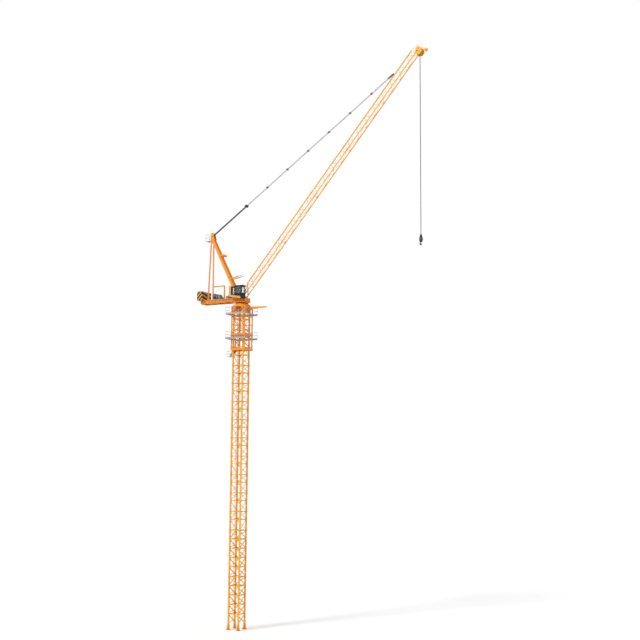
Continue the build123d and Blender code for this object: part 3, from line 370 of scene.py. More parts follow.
# Paint colours: fresh, faded and under grime
ORANGE = ((0.92, 0.31, 0.014), (0.96, 0.36, 0.028), (0.62, 0.18, 0.01))
LATTICE = ((0.9, 0.43, 0.008), (0.94, 0.48, 0.014), (0.64, 0.25, 0.006))
# Painted shade: a tint multiplied onto the mast faces that look in to its axis
LATTICE_PAINTED_SHADE = (0.82, 0.6, 0.35)
# Painted shade under the deck together with oil runs, multiplied onto the girders
OIL_AND_SHADE = (0.8, 0.74, 0.45)
BARE_STEEL = (0.16, 0.11, 0.08)
DUST = (0.2, 0.17, 0.13)
PAINTS = {
    "orange_paint": ORANGE,
    "jib_paint": LATTICE,
    "red_paint": ((0.74, 0.03, 0.012), (0.78, 0.045, 0.02), (0.34, 0.02, 0.01)),
    "grey_paint": ((0.3, 0.32, 0.34), (0.38, 0.4, 0.42), (0.14, 0.13, 0.12)),
    "blind_paint": ((0.74, 0.74, 0.71), (0.82, 0.82, 0.8), (0.5, 0.48, 0.44)),
    "cab_paint": ((0.72, 0.36, 0.07), (0.8, 0.43, 0.1), (0.35, 0.17, 0.05)),
    "amber_paint": ((0.84, 0.36, 0.02), (0.88, 0.42, 0.04), (0.4, 0.18, 0.02)),
    "copper_paint": ((0.11, 0.06, 0.035), (0.15, 0.085, 0.05), (0.04, 0.025, 0.018)),
}
DARK_PAINT = ((0.015, 0.016, 0.019), (0.026, 0.027, 0.032), (0.05, 0.045, 0.04))

# Zinc and rope colours: dark and light
METALS = {
    "grey_steel": ((0.3, 0.305, 0.31), (0.46, 0.465, 0.47)),
    "pale_steel": ((0.5, 0.505, 0.51), (0.66, 0.665, 0.67)),
    "winch_steel": ((0.15, 0.15, 0.14), (0.27, 0.26, 0.24)),
    "pendant_steel": ((0.2, 0.2, 0.21), (0.34, 0.34, 0.35)),
}
ROPES = {
    "wire_rope": ((0.03, 0.03, 0.032), (0.1, 0.1, 0.105)),
    "drum_rope": ((0.09, 0.085, 0.08), (0.24, 0.23, 0.21)),
}
GREASE = ((0.02, 0.02, 0.022), (0.06, 0.058, 0.056))

# Nodes whose finish is finer than their slot's own
FINISH = {
    "hoist_winch": "winch_steel",
    "luffing_winch": "winch_steel",
    "pendant_bars": "pendant_steel",
    "hydraulic_unit": "grey_paint",
    # The girders' finish holds painted shade as well as oil runs
    "deck_girders": "girder_paint",
}


class Shape:
    """A mesh under construction, in millimetres."""

    def __init__(self):
        self.bm = bmesh.new()

    def ring(self, points):
        return [self.bm.verts.new(Vector(p)) for p in points]

    def skin(self, rings):
        """Faces between rings of as many corners, closed at both ends."""
        for low, high in zip(rings, rings[1:]):
            for k in range(len(low)):
                self.bm.faces.new((low[k - 1], low[k], high[k], high[k - 1]))
        self.bm.faces.new(list(reversed(rings[0])))
        self.bm.faces.new(rings[-1])


def axes(direction, hint=UP):
    """Two unit vectors square to a direction, the first level where it can be."""
    d = Vector(direction).normalized()
    side = Vector(hint).cross(d)
    if side.length < 1e-6:
        side = ACROSS.cross(d)
    side.normalize()
    return side, d.cross(side)


def circle(radius, sides):
    return [(radius * cos(2 * pi * k / sides), radius * sin(2 * pi * k / sides)) for k in range(sides)]


def sweep(shape, points, outline, hint=UP):
    """An outline carried along a line of points."""
    points = [Vector(p) for p in points]
    rings = []
    for k, point in enumerate(points):
        before, after = points[max(k - 1, 0)], points[min(k + 1, len(points) - 1)]
        side, up = axes(after - before, hint)
        rings.append(shape.ring([point + side * u + up * v for u, v in outline]))
    shape.skin(rings)


def tube(shape, points, radius, sides=8):
    sweep(shape, points, circle(radius, sides))


def bar(shape, start, end, width, depth=None, hint=UP):
    """A bar with small chamfered edges from point to point."""
    w, d = width / 2, (depth or width) / 2
    c = min(w, d) * BAR_CHAMFER
    right = [(w - c, -d), (w, c - d), (w, d - c), (w - c, d)]
    left = [(c - w, d), (-w, d - c), (-w, c - d), (c - w, -d)]
    sweep(shape, [start, end], right + left, hint)


def lathe(shape, origin, axis, profile, sides=32):
    """A profile of radii and heights turned about an axis."""
    origin, axis = Vector(origin), Vector(axis).normalized()
    side, up = axes(axis)
    rings = []
    for radius, height in profile:
        centre = origin + axis * height
        rings.append(shape.ring([centre + side * u + up * v for u, v in circle(radius, sides)]))
    shape.skin(rings)


def repeat(count, pitch, points):
    """A stretch of a lathe's profile, repeated along its axis."""
    return [(radius, k * pitch + height) for k in range(count) for radius, height in points]


def plate(shape, corners, thickness):
    """A flat plate of that thickness about its corners' plane, with chamfered edges."""
    corners = [Vector(c) for c in corners]
    normal = (corners[1] - corners[0]).cross(corners[2] - corners[0]).normalized()
    middle = sum(corners, Vector()) / len(corners)
    rings = []
    for lift, shrink in PLATE_LAYERS:
        raised = normal * (thickness * lift)
        rings.append(shape.ring([middle + (c - middle) * shrink + raised for c in corners]))
    shape.skin(rings)


def panel(shape, low, high, thickness):
    """An upright or level plate between two opposite corners, which share one coordinate."""
    (x0, y0, z0), (x1, y1, z1) = low, high
    corners = [low, (x1, y1, z0), high, (x0, y0, z1)]
    if z0 == z1:
        corners = [low, (x1, y0, z0), high, (x0, y1, z0)]
    plate(shape, corners, thickness)


def bolt(shape, place, axis, radius, height=None):
    """A hexagon head on a round washer, its underside at the place."""
    h = height or radius
    seat = WASHER_HEIGHT * h
    washer = [(WASHER * radius, 0), (WASHER * radius, 0.2 * h), (1.3 * radius, seat)]
    lathe(shape, place, axis, washer, 12)
    head = [(radius, 0), (radius, 0.8 * h), (0.8 * radius, h)]
    lathe(shape, Vector(place) + Vector(axis).normalized() * seat, axis, head, 6)


def bolt_circle(shape, centre, side, reach, count, radius):
    """Bolts round an axis that lies across the crane."""
    for k in range(count):
        a = 2 * pi * (k + 0.5) / count
        bolt(shape, Vector(centre) + Vector((reach * cos(a), 0, reach * sin(a))), (0, side, 0), radius)


def sheave(shape, centre, radius, width, groove):
    """A grooved rope wheel across the crane, with a hub and a thin web."""
    half = width / 2
    near = [
        (0.24 * radius, -half), (0.3 * radius, -half), (0.3 * radius, -0.3 * width),
        (0.72 * radius, -0.22 * width), (0.76 * radius, -half), (radius, -half),
        (radius - groove, -0.16 * width),
    ]
    far = [(r, -y) for r, y in reversed(near)]
    lathe(shape, centre, ACROSS, near + far, 40)


def helix(shape, centre, radius, length, pitch, wire, steps=28):
    """Rope wound round a drum that lies across the crane."""
    count = int(length / pitch * steps)
    points = []
    for k in range(count + 1):
        a = 2 * pi * k / steps
        y = -length / 2 + length * k / count
        points.append(Vector(centre) + Vector((radius * cos(a), y, radius * sin(a))))
    sweep(shape, points, circle(wire, 6), hint=ACROSS)


def strands(radius, count, spacing, groove, turn=0.0):
    """Outline of a laid rope, with a groove at every few points."""
    outline = []
    for n in range(count):
        a = 2 * pi * n / count + turn
        r = radius * (1 if n % spacing else groove)
        outline.append((r * cos(a), r * sin(a)))
    return outline


def wrap(centre, y, radius, first, last, steps=12):
    """Points of a rope round a sheave, between two angles in the crane's own plane."""
    points = []
    for k in range(steps + 1):
        a = radians(first + (last - first) * k / steps)
        points.append(Vector(centre) + Vector((radius * cos(a), y, radius * sin(a))))
    return points


def cushion(shape, centre, across, along, size):
    """A crowned pad, flat underneath, whose sides pull in between its corners."""
    up = across.cross(along)
    width, length, height = size
    rings = []
    for share, lift in PAD_PROFILE:
        ring = []
        for k in range(PAD_SIDES):
            a = 2 * pi * k / PAD_SIDES
            square = (abs(cos(a)) ** PAD_CORNER + abs(sin(a)) ** PAD_CORNER) ** (1 / PAD_CORNER)
            reach = share * (1 - PAD_PULL * cos(2 * a) ** 2) / square
            flat = across * (width / 2 * reach * cos(a)) + along * (length / 2 * reach * sin(a))
            ring.append(centre + flat + up * (height * lift))
        rings.append(shape.ring(ring))
    shape.skin(rings)


def loose(name, shape, finish):
    """A finished shape as an object with its material."""
    bmesh.ops.recalc_face_normals(shape.bm, faces=shape.bm.faces)
    bmesh.ops.scale(shape.bm, vec=(MM, MM, MM), verts=shape.bm.verts)
    mesh = bpy.data.meshes.new(name)
    shape.bm.to_mesh(mesh)
    shape.bm.free()
    mesh.shade_smooth()
    mesh.set_sharp_from_angle(angle=radians(SHARP_ANGLE))
    mesh.materials.append(MATERIALS[finish])
    piece = bpy.data.objects.new(name, mesh)
    bpy.context.scene.collection.objects.link(piece)
    return piece


def place(name, shape, body, finish):
    """Turns a finished shape into a piece that rides on a body."""
    piece = loose(name, shape, finish)
    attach(piece, body)
    return piece


def node_box(node):
    """Lowest and highest corners of a solid, in millimetres."""
    return [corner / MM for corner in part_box(node)]


def jib_point(s, y, h):
    """A point in the jib's own directions: along it, across it and above its lower chords."""
    a = radians(JIB_ANGLE)
    return Vector((PIVOT[0] + s * cos(a) - h * sin(a), y, PIVOT[2] + s * sin(a) + h * cos(a)))


def jib_way():
    a = radians(JIB_ANGLE)
    return Vector((cos(a), 0, sin(a)))


def upward(way):
    """The direction square to a line in the crane's own plane."""
    return Vector((-way.z, 0, way.x))


def leg_point(side, level):
    """A point on one A-frame leg's axis."""
    foot = Vector((LEG_FOOT[0], side * LEG_FOOT[1], LEG_FOOT[2]))
    top = Vector((LEG_TOP[0], side * LEG_TOP[1], LEG_TOP[2]))
    return foot.lerp(top, level)


def fall_offsets():
    """Places of the luffing rope's falls across the crane."""
    return [(k - (ROPE_FALLS - 1) / 2) * ROPE_PITCH for k in range(ROPE_FALLS)]


class Graph:
    """A material's nodes, with short calls for the ones in use."""

    def __init__(self, name):
        self.material = bpy.data.materials.new(name)
        self.material.use_nodes = True
        self.tree = self.material.node_tree
        self.shader = self.tree.nodes["Principled BSDF"]
        coordinates = self.tree.nodes.new("ShaderNodeTexCoord")
        self.spot = coordinates.outputs["Object"]
        self.normal = coordinates.outputs["Normal"]

    def feed(self, socket, value):
        """A link or a constant into a socket."""
        if isinstance(value, bpy.types.NodeSocket):
            self.tree.links.new(value, socket)
        else:
            socket.default_value = value

    def make(self, kind, inputs, **settings):
        """A node with its settings and inputs."""
        node = self.tree.nodes.new(kind)
        for key, value in settings.items():
            setattr(node, key, value)
        for key, value in inputs.items():
            self.feed(node.inputs[key], value)
        return node

    def stretched(self, scale):
        return self.make("ShaderNodeMapping", {"Vector": self.spot, "Scale": scale}).outputs["Vector"]

    def noise(self, scale, detail=4.0, vector=None):
        inputs = {"Vector": vector or self.spot, "Scale": scale, "Detail": detail}
        return self.make("ShaderNodeTexNoise", inputs).outputs["Fac"]

    def cells(self, scale):
        return self.make("ShaderNodeTexVoronoi", {"Vector": self.spot, "Scale": scale}).outputs["Color"]

    def wave(self, scale, direction, distortion=0.0):
        inputs = {"Vector": self.spot, "Scale": scale, "Distortion": distortion}
        return self.make("ShaderNodeTexWave", inputs, bands_direction=direction).outputs["Fac"]

    def ramp(self, value, start, end, low=0.0, high=1.0):
        """A change from one grey or colour to another between two values."""
        node = self.make("ShaderNodeValToRGB", {"Fac": value})
        for element, position, colour in zip(node.color_ramp.elements, (start, end), (low, high)):
            element.position = position
            element.color = (*colour, 1) if isinstance(colour, tuple) else (colour, colour, colour, 1)
        return node.outputs["Color"]

    def mix(self, factor, first, second, blend="MIX"):
        inputs = {"Factor": factor, 6: first, 7: second}
        inputs = {key: (*v, 1) if isinstance(v, tuple) else v for key, v in inputs.items()}
        return self.make("ShaderNodeMix", inputs, data_type="RGBA", blend_type=blend).outputs[2]

    def maths(self, operation, *values):
        return self.make("ShaderNodeMath", dict(enumerate(values)), operation=operation).outputs[0]

    def vectors(self, operation, *values):
        return self.make("ShaderNodeVectorMath", dict(enumerate(values)), operation=operation).outputs

    def split(self, vector):
        return self.make("ShaderNodeSeparateXYZ", {0: vector}).outputs

    def worn_edge(self, radius):
        """How much a spot lies on a convex edge, from the shading normal near it."""
        near = self.make("ShaderNodeBevel", {"Radius": radius}, samples=4)
        here = self.make("ShaderNodeNewGeometry", {})
        dot = self.vectors("DOT_PRODUCT", near.outputs["Normal"], here.outputs["Normal"])
        return self.ramp(dot["Value"], 0.72, 0.96, 1.0, 0.0)

    def bump(self, height, strength, distance):
        node = self.make("ShaderNodeBump", {"Height": height, "Strength": strength, "Distance": distance})
        self.feed(self.shader.inputs["Normal"], node.outputs["Normal"])

    def surface(self, colour, roughness, metallic=0.0):
        self.colour = colour
        self.feed(self.shader.inputs["Base Color"], colour)
        self.feed(self.shader.inputs["Roughness"], roughness)
        self.shader.inputs["Metallic"].default_value = metallic

    def tint(self, factor, colour):
        """Darkens the surface's colour by another one."""
        self.feed(self.shader.inputs["Base Color"], self.mix(factor, self.colour, colour, "MULTIPLY"))


def paint(name, fresh, faded, grime, shine=0.38, gloss=0.4):
    """Weathered paint: slow fading, grimy rain streaks, uneven gloss and bare chips on edges."""
    g = Graph(name)
    colour = g.mix(g.ramp(g.noise(2.2, 3.0), 0.35, 0.65), fresh, faded)
    streaks = g.noise(1.0, 6.0, g.stretched((46.0, 46.0, 3.0)))
    colour = g.mix(g.ramp(streaks, 0.56, 0.8, 0.0, 0.34), colour, grime)
    patches = g.noise(34.0, 7.0)
    chips = g.maths("MULTIPLY", g.worn_edge(0.0025), g.ramp(patches, 0.5, 0.58, 0.0, 0.75))
    g.surface(g.mix(chips, colour, BARE_STEEL), g.ramp(patches, 0.3, 0.7, shine, shine + 0.18))
    g.shader.inputs["Specular IOR Level"].default_value = gloss
    g.bump(g.noise(420.0, 3.0), 0.06, 0.0006)
    return g


def mast_paint():
    """The lattice paint with painted shade on the faces that look in to the mast's axis."""
    g = paint("mast_paint", *LATTICE)
    flat = g.vectors("MULTIPLY", g.spot, (1.0, 1.0, 0.0))[0]
    outward = g.vectors("NORMALIZE", flat)[0]
    dot = g.vectors("DOT_PRODUCT", outward, g.normal)["Value"]
    # Painted shade: faces that look in to the mast's axis are darkened by this tint
    g.tint(g.ramp(g.maths("MULTIPLY_ADD", dot, 0.5, 0.5), 0.0, 0.42, 1.0, 0.0), LATTICE_PAINTED_SHADE)
    return g.material


def girder_paint():
    """The orange paint under the deck, darkened all over as painted shade and darker still where oil from the
    machines above has run down it.
    """
    g = paint("girder_paint", *ORANGE)
    shade_and_runs = g.noise(1.0, 5.0, g.stretched((30.0, 30.0, 1.5)))
    # Painted shade: the whole girder is multiplied darker and browner, most of all along the oil runs
    g.tint(g.ramp(shade_and_runs, 0.3, 0.7, 0.55, 1.0), OIL_AND_SHADE)
    return g.material


def galvanised(name, dark, light, shine=0.42):
    """Zinc-coated steel with crystal spangle and dull stains."""
    g = Graph(name)
    spangle = g.ramp(g.cells(160.0), 0.2, 0.8, dark, light)
    stains = g.noise(9.0, 5.0)
    colour = g.mix(g.ramp(stains, 0.5, 0.75, 0.0, 0.45), spangle, tuple(0.55 * c for c in dark))
    g.surface(colour, g.ramp(stains, 0.3, 0.7, shine, shine + 0.2), 0.35)
    g.bump(g.noise(300.0, 2.0), 0.05, 0.0005)
    return g.material


def greased(name, dark, light, shine=0.3):
    """Dark steel under a film of grease that gathers dust."""
    g = Graph(name)
    film = g.noise(28.0, 6.0)
    colour = g.mix(g.ramp(film, 0.35, 0.7), dark, light)
    colour = g.mix(g.ramp(g.noise(90.0), 0.6, 0.8, 0.0, 0.35), colour, DUST)
    g.surface(colour, g.ramp(film, 0.3, 0.7, shine, shine + 0.3), 0.55)
    g.bump(g.noise(260.0, 3.0), 0.08, 0.0006)
    return g.material


def hazard_paint():
    """Yellow slabs with black stripes that turn at the corner, scuffed along the edges."""
    g = Graph("hazard_paint")
    x, y, z = g.split(g.spot)
    front = g.maths("GREATER_THAN", g.maths("ABSOLUTE", g.split(g.normal)[0]), 0.5)
    low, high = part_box("counterweight_slabs")
    slope = STRIPE_PITCH * MM / (high.y - low.y)
    along = g.maths("MULTIPLY", x, -1.0)
    turned = g.maths("ADD", g.maths("MULTIPLY", g.maths("SUBTRACT", y, low.y), slope), -high.x)
    run = g.make("ShaderNodeMix", {"Factor": front, 2: along, 3: turned}, data_type="FLOAT").outputs[0]
    wobble = g.maths("MULTIPLY", g.noise(60.0, 3.0), 0.003)
    value = g.maths("ADD", g.maths("ADD", z, run), wobble)
    stripe = g.maths("FRACT", g.maths("DIVIDE", value, STRIPE_PITCH * MM))
    colour = g.mix(g.ramp(g.noise(5.0), 0.35, 0.7), (0.83, 0.36, 0.055), (0.76, 0.28, 0.04))
    colour = g.mix(g.ramp(stripe, 0.43, 0.45), colour, (0.014, 0.012, 0.012))
    scuffs = g.maths("MULTIPLY", g.worn_edge(0.004), g.ramp(g.noise(40.0, 6.0), 0.48, 0.6, 0.0, 0.7))
    colour = g.mix(scuffs, colour, (0.3, 0.27, 0.24))
    g.surface(colour, g.ramp(g.noise(30.0, 5.0), 0.3, 0.7, 0.5, 0.75))
    g.bump(g.noise(200.0), 0.1, 0.001)
    return g.material


def glass():
    """Clear cab glass with faint dust in patches."""
    g = Graph("glass")
    dust = g.noise(24.0, 5.0)
    colour = g.mix(g.ramp(dust, 0.4, 0.75, 0.0, 0.5), (0.95, 0.97, 0.97), (0.8, 0.82, 0.82))
    g.surface(colour, g.ramp(dust, 0.35, 0.8, 0.02, 0.14))
    g.shader.inputs["Transmission Weight"].default_value = 0.93
    g.shader.inputs["IOR"].default_value = 1.2
    g.bump(g.noise(3.0, 1.0), 0.02, 0.001)
    return g.material


def wire_rope(name, dark, light):
    """Laid steel wire: light strands with greasy grooves between them."""
    g = Graph(name)
    wave = g.wave(70.0, "DIAGONAL", 1.2)
    grease = g.noise(14.0)
    colour = g.mix(g.ramp(wave, 0.2, 0.7), dark, light)
    colour = g.mix(g.ramp(grease, 0.5, 0.8, 0.0, 0.5), colour, tuple(0.6 * c for c in dark))
    g.surface(colour, g.ramp(grease, 0.3, 0.7, 0.35, 0.6), 0.5)
    g.bump(wave, 0.35, 0.0008)
    return g.material


def seat_cloth():
    """Woven cloth on the seat."""
    g = Graph("seat_cloth")
    weave = g.make("ShaderNodeTexBrick", {"Vector": g.spot, "Scale": 300.0}).outputs["Fac"]
    colour = g.mix(g.ramp(g.noise(60.0, 5.0), 0.35, 0.7), (0.03, 0.032, 0.036), (0.07, 0.07, 0.075))
    g.surface(colour, g.ramp(g.noise(90.0, 3.0), 0.3, 0.7, 0.75, 0.95))
    g.shader.inputs["Sheen Weight"].default_value = 0.3
    g.bump(weave, 0.3, 0.0006)
    return g.material


def lens():
    """Pressed amber lamp glass with fine flutes."""
    g = Graph("lamp_lens")
    wave = g.wave(60.0, "Y")
    colour = g.mix(wave, (0.72, 0.3, 0.02), (0.86, 0.42, 0.06))
    g.surface(colour, g.ramp(g.noise(40.0), 0.3, 0.7, 0.1, 0.25))
    g.bump(wave, 0.4, 0.001)
    return g.material


def make_materials():
    """Every finish by its name."""
    finishes = {name: paint(name, *colours).material for name, colours in PAINTS.items()}
    finishes.update({name: galvanised(name, *colours) for name, colours in METALS.items()})
    finishes.update({name: wire_rope(name, *colours) for name, colours in ROPES.items()})
    finishes["mast_paint"] = mast_paint()
    finishes["girder_paint"] = girder_paint()
    finishes["dark_paint"] = paint("dark_paint", *DARK_PAINT, shine=0.5, gloss=0.12).material
    finishes["dark_steel"] = greased("dark_steel", *GREASE)
    finishes["hazard_paint"] = hazard_paint()
    finishes["glass"] = glass()
    finishes["cloth"] = seat_cloth()
    finishes["lens"] = lens()
    return finishes


def dress_nodes():
    """Every solid takes its slot's finish, or its own finer one."""
    for row in frame["record"]["subparts"]:
        node = row["node"]
        finish = FINISH.get(node, row["material_slot"])
        # Mast sections take the lattice paint with painted shade on their inward faces
        if "section" in node:
            finish = "jib_paint" if "jib" in node else "mast_paint"
        mesh = NODES[node].data
        mesh.materials.clear()
        mesh.materials.append(MATERIALS[finish])


def make_camera():
    a = radians(CAMERA_AZIMUTH)
    spot = Vector((CAMERA_DISTANCE * sin(a), -CAMERA_DISTANCE * cos(a), CAMERA_HEIGHT))
    heading = Matrix.Rotation(a + radians(CAMERA_YAW), 4, "Z")
    pitch = Matrix.Rotation(radians(90 + CAMERA_PITCH), 4, "X")
    roll = Matrix.Rotation(radians(CAMERA_ROLL), 4, "Z")
    data = bpy.data.cameras.new("camera")
    data.sensor_width = SENSOR
    data.lens = LENS
    data.clip_end = CAMERA_REACH
    camera = bpy.data.objects.new("camera", data)
    camera.matrix_world = Matrix.Translation(spot) @ heading @ pitch @ roll
    bpy.context.scene.collection.objects.link(camera)
    bpy.context.scene.camera = camera


def seen_directly(tree):
    """One where a camera, mirror or glass ray looks, and zero for the light that falls on things."""
    path = tree.nodes.new("ShaderNodeLightPath")
    total = path.outputs["Is Camera Ray"]
    for name in ("Is Glossy Ray", "Is Transmission Ray"):
        larger = tree.nodes.new("ShaderNodeMath")
        larger.operation = "MAXIMUM"
        tree.links.new(total, larger.inputs[0])
        tree.links.new(path.outputs[name], larger.inputs[1])
        total = larger.outputs[0]
    return total


def make_floor():
    """Plain pale floor that keeps the shadow and reads as white to the camera."""
    material = bpy.data.materials.new("floor")
    material.use_nodes = True
    tree = material.node_tree
    shader = tree.nodes["Principled BSDF"]
    shader.inputs["Base Color"].default_value = (*FLOOR_COLOUR, 1)
    shader.inputs["Roughness"].default_value = 0.9
    shader.inputs["Specular IOR Level"].default_value = 0.0
    shader.inputs["Emission Color"].default_value = (1, 1, 1, 1)
    lift = tree.nodes.new("ShaderNodeMath")
    lift.operation = "MULTIPLY"
    lift.inputs[1].default_value = FLOOR_LIFT
    tree.links.new(seen_directly(tree), lift.inputs[0])
    tree.links.new(lift.outputs[0], shader.inputs["Emission Strength"])
    mesh = bpy.data.meshes.new("floor")
    h = FLOOR_HALF
    mesh.from_pydata([(-h, -h, 0), (h, -h, 0), (h, h, 0), (-h, h, 0)], [], [(0, 1, 2, 3)])
    mesh.materials.append(material)
    floor = bpy.data.objects.new("floor", mesh)
    floor.location = (0, 0, -FLOOR_DROP)
    bpy.context.scene.collection.objects.link(floor)


def make_light():
    """White surroundings to look at, a plain level of sky light, and one soft sun."""
    world = bpy.context.scene.world or bpy.data.worlds.new("world")
    bpy.context.scene.world = world
    world.use_nodes = True
    tree = world.node_tree
    sky = tree.nodes["Background"]
    white = tree.nodes.new("ShaderNodeBackground")
    for background, strength in ((sky, SKY_LEVEL), (white, 1.0)):
        background.inputs["Color"].default_value = (1, 1, 1, 1)
        background.inputs["Strength"].default_value = strength
    mixed = tree.nodes.new("ShaderNodeMixShader")
    tree.links.new(seen_directly(tree), mixed.inputs["Fac"])
    tree.links.new(sky.outputs[0], mixed.inputs[1])
    tree.links.new(white.outputs[0], mixed.inputs[2])
    tree.links.new(mixed.outputs[0], tree.nodes["World Output"].inputs["Surface"])
    sun = bpy.data.lights.new("sun", "SUN")
    sun.energy = SUN_POWER
    sun.angle = radians(SUN_SOFTNESS)
    lamp = bpy.data.objects.new("sun", sun)
    lamp.rotation_euler = (radians(SUN_TILT), 0, radians(SUN_TURN))
    bpy.context.scene.collection.objects.link(lamp)
    bpy.context.scene.view_settings.view_transform = "Standard"


def mast_joints():
    """Heights of the collars between mast sections."""
    levels = [BASE_FOOT + (k + 1) * BASE_HEIGHT for k in range(BASE_COUNT)]
    levels += [SECTION_FOOT + (k + 1) * SECTION_HEIGHT for k in range(SECTION_COUNT)]
    return [level - COLLAR_HEIGHT / 2 for level in levels]


def mast_middles():
    """Heights of the middle struts of the standard sections."""
    return [SECTION_FOOT + k * SECTION_HEIGHT + SECTION_MIDDLE for k in range(SECTION_COUNT)]


def mast_pins():
    """Hexagon-headed pins on all four sides of each collar."""
    shape = Shape()
    reach = COLLAR / 2
    for z in mast_joints():
        for x in (-LEG, LEG):
            for y in (-LEG, LEG):
                for dx, dy in ((1, 0), (-1, 0), (0, 1), (0, -1)):
                    bolt(shape, (x + dx * reach, y + dy * reach, z), (dx, dy, 0), PIN_RADIUS)
    place("mast_pins", shape, "mast", "grey_steel")


def mast_ties():
    """Frames round each joint between mast sections."""
    shape = Shape()
    inner = LEG - LEG_WIDTH / 2
    for z in mast_joints():
        for v in (-LEG, LEG):
            bar(shape, (-inner, v, z), (inner, v, z), *JOINT_BAR)
            bar(shape, (v, -inner, z), (v, inner, z), *JOINT_BAR)
    place("mast_ties", shape, "mast", "mast_paint")


def mast_gussets():
    """Plates where the middle struts and braces meet the legs."""
    shape = Shape()
    inner = LEG - LEG_WIDTH / 2
    rise, tip = GUSSET_RISE, GUSSET_TIP
    levels = mast_middles()
    for s in range(BASE_COUNT):
        foot = BASE_FOOT + s * BASE_HEIGHT
        levels += [foot + k * BASE_HEIGHT / BASE_PANELS for k in range(1, BASE_PANELS)]
    for z in levels:
        for v in (-LEG, LEG):
            for end in SIDES:
                u0, u1 = end * inner, end * (inner - GUSSET_REACH)
                outline = [(u0, z - rise), (u0, z + rise), (u1, z + tip), (u1, z - tip)]
                plate(shape, [(u, v, w) for u, w in outline], GUSSET_THICKNESS)
                plate(shape, [(v, u, w) for u, w in outline], GUSSET_THICKNESS)
    place("mast_gussets", shape, "mast", "mast_paint")


def mast_ladder():
    """Ladder inside the mast, tied to the rear struts."""
    shape = Shape()
    half = LADDER_WIDTH / 2
    for y in (-half, half):
        bar(shape, (LADDER_X, y, LADDER_FOOT), (LADDER_X, y, LADDER_TOP), LADDER_RAIL, hint=ALONG)
    for k in range(int((LADDER_TOP - LADDER_FOOT) / LADDER_PITCH)):
        z = LADDER_FOOT + (k + 0.5) * LADDER_PITCH
        tube(shape, [(LADDER_X, -half, z), (LADDER_X, half, z)], LADDER_RUNG, 6)
    for z in mast_middles():
        for y in (-half, half):
            bar(shape, (STAY_INSET - LEG, y, z), (LADDER_X, y, z), LADDER_STAY)
    place("mast_ladder", shape, "mast", "orange_paint")


def foot_bolts():
    """Anchor bolts with nuts and washers on the foot plates."""
    shape = Shape()
    half = FOOT_BOLT_SPACING / 2
    stud = [(2.0, 4), (2.0, 12), (1.4, 13)]
    for x, y in ((-1, -1), (1, -1), (1, 1), (-1, 1)):
        for side in SIDES:
            spot = (x * LEG + side * half, y * LEG + x * y * side * half, FOOT_PLATE)
            bolt(shape, spot, UP, FOOT_NUT)
            lathe(shape, spot, UP, stud, 10)
    place("foot_bolts", shape, "mast", "dark_steel")


def ring_gear():
    """Teeth round the slewing ring."""
    shape = Shape()
    outline = []
    for k in range(GEAR_TEETH):
        for share, depth in TOOTH:
            a = 2 * pi * (k + share) / GEAR_TEETH
            r = RING_RADIUS + depth - GEAR_SINK
            outline.append((r * cos(a), r * sin(a)))
    levels = (RING_FOOT + GEAR_MARGIN, RING_TOP - GEAR_MARGIN)
    shape.skin([shape.ring([(x, y, z) for x, y in outline]) for z in levels])
    place("ring_gear", shape, "mast", "dark_steel")


def floor_bars(shape, x0, x1, y0, y1, z):
    """Bearing and cross bars of a grating over a stretch of floor."""
    count = max(1, round((x1 - x0) / GRATING_PITCH))
    for k in range(count):
        x = x0 + (k + 0.5) * (x1 - x0) / count
        bar(shape, (x, y0, z + BEARING_LIFT), (x, y1, z + BEARING_LIFT), GRATING_BAR)
    for share in CROSS_SHARES:
        y = y0 + share * (y1 - y0)
        bar(shape, (x0, y, z + CROSS_LIFT), (x1, y, z + CROSS_LIFT), GRATING_BAR)


def platform_details(name, floor):
    """Grating bars and toe boards of a walkway."""
    shape = Shape()
    r, inner = FLOOR_REACH, CAGE_SIDE + CAGE_GAP
    floor_bars(shape, -r, r, -r, -inner, floor)
    floor_bars(shape, -r, r, inner, r, floor)
    floor_bars(shape, -r, -inner, -CAGE_SIDE, CAGE_SIDE, floor)
    floor_bars(shape, CAGE_FRONT + CAGE_GAP, r, -CAGE_SIDE, CAGE_SIDE, floor)
    edge, z = r + TOE_OUT, floor + TOE_HEIGHT / 2
    for y in (-edge, edge):
        bar(shape, (-edge, y, z), (edge, y, z), TOE_THICKNESS, TOE_HEIGHT)
    bar(shape, (-edge, -edge, z), (-edge, edge, z), TOE_THICKNESS, TOE_HEIGHT)
    place(name, shape, "mast", "grey_steel")


def hydraulic_details():
    """Pump motor, filler and the pipes up to the ram."""
    shape = Shape()
    low, high = node_box("hydraulic_unit")
    middle = (low + high) / 2
    motor = [(9, 0)] + repeat(7, 3.5, [(11, 0), (13, 0), (13, 1.4), (11, 1.4)]) + [(9, 25), (4, 27)]
    lathe(shape, (middle.x, middle.y, high.z), UP, motor, 24)
    filler = [(5, 0), (5, 3), (3.5, 4), (3.5, 6)]
    lathe(shape, (low.x + FILLER_INSET, low.y + FILLER_INSET, high.z), UP, filler, 16)
    outlet = high.z - PIPE_DROP
    route = [(0, outlet), (14, outlet), (16, outlet + 4), (16, PIPE_TOP), (18, PIPE_TOP + 4)]
    for side in SIDES:
        y = middle.y + side * PIPE_SPACING / 2
        tube(shape, [(high.x + x, y, z) for x, z in route], PIPE_RADIUS)
    place("pump_details", shape, "mast", "dark_steel")


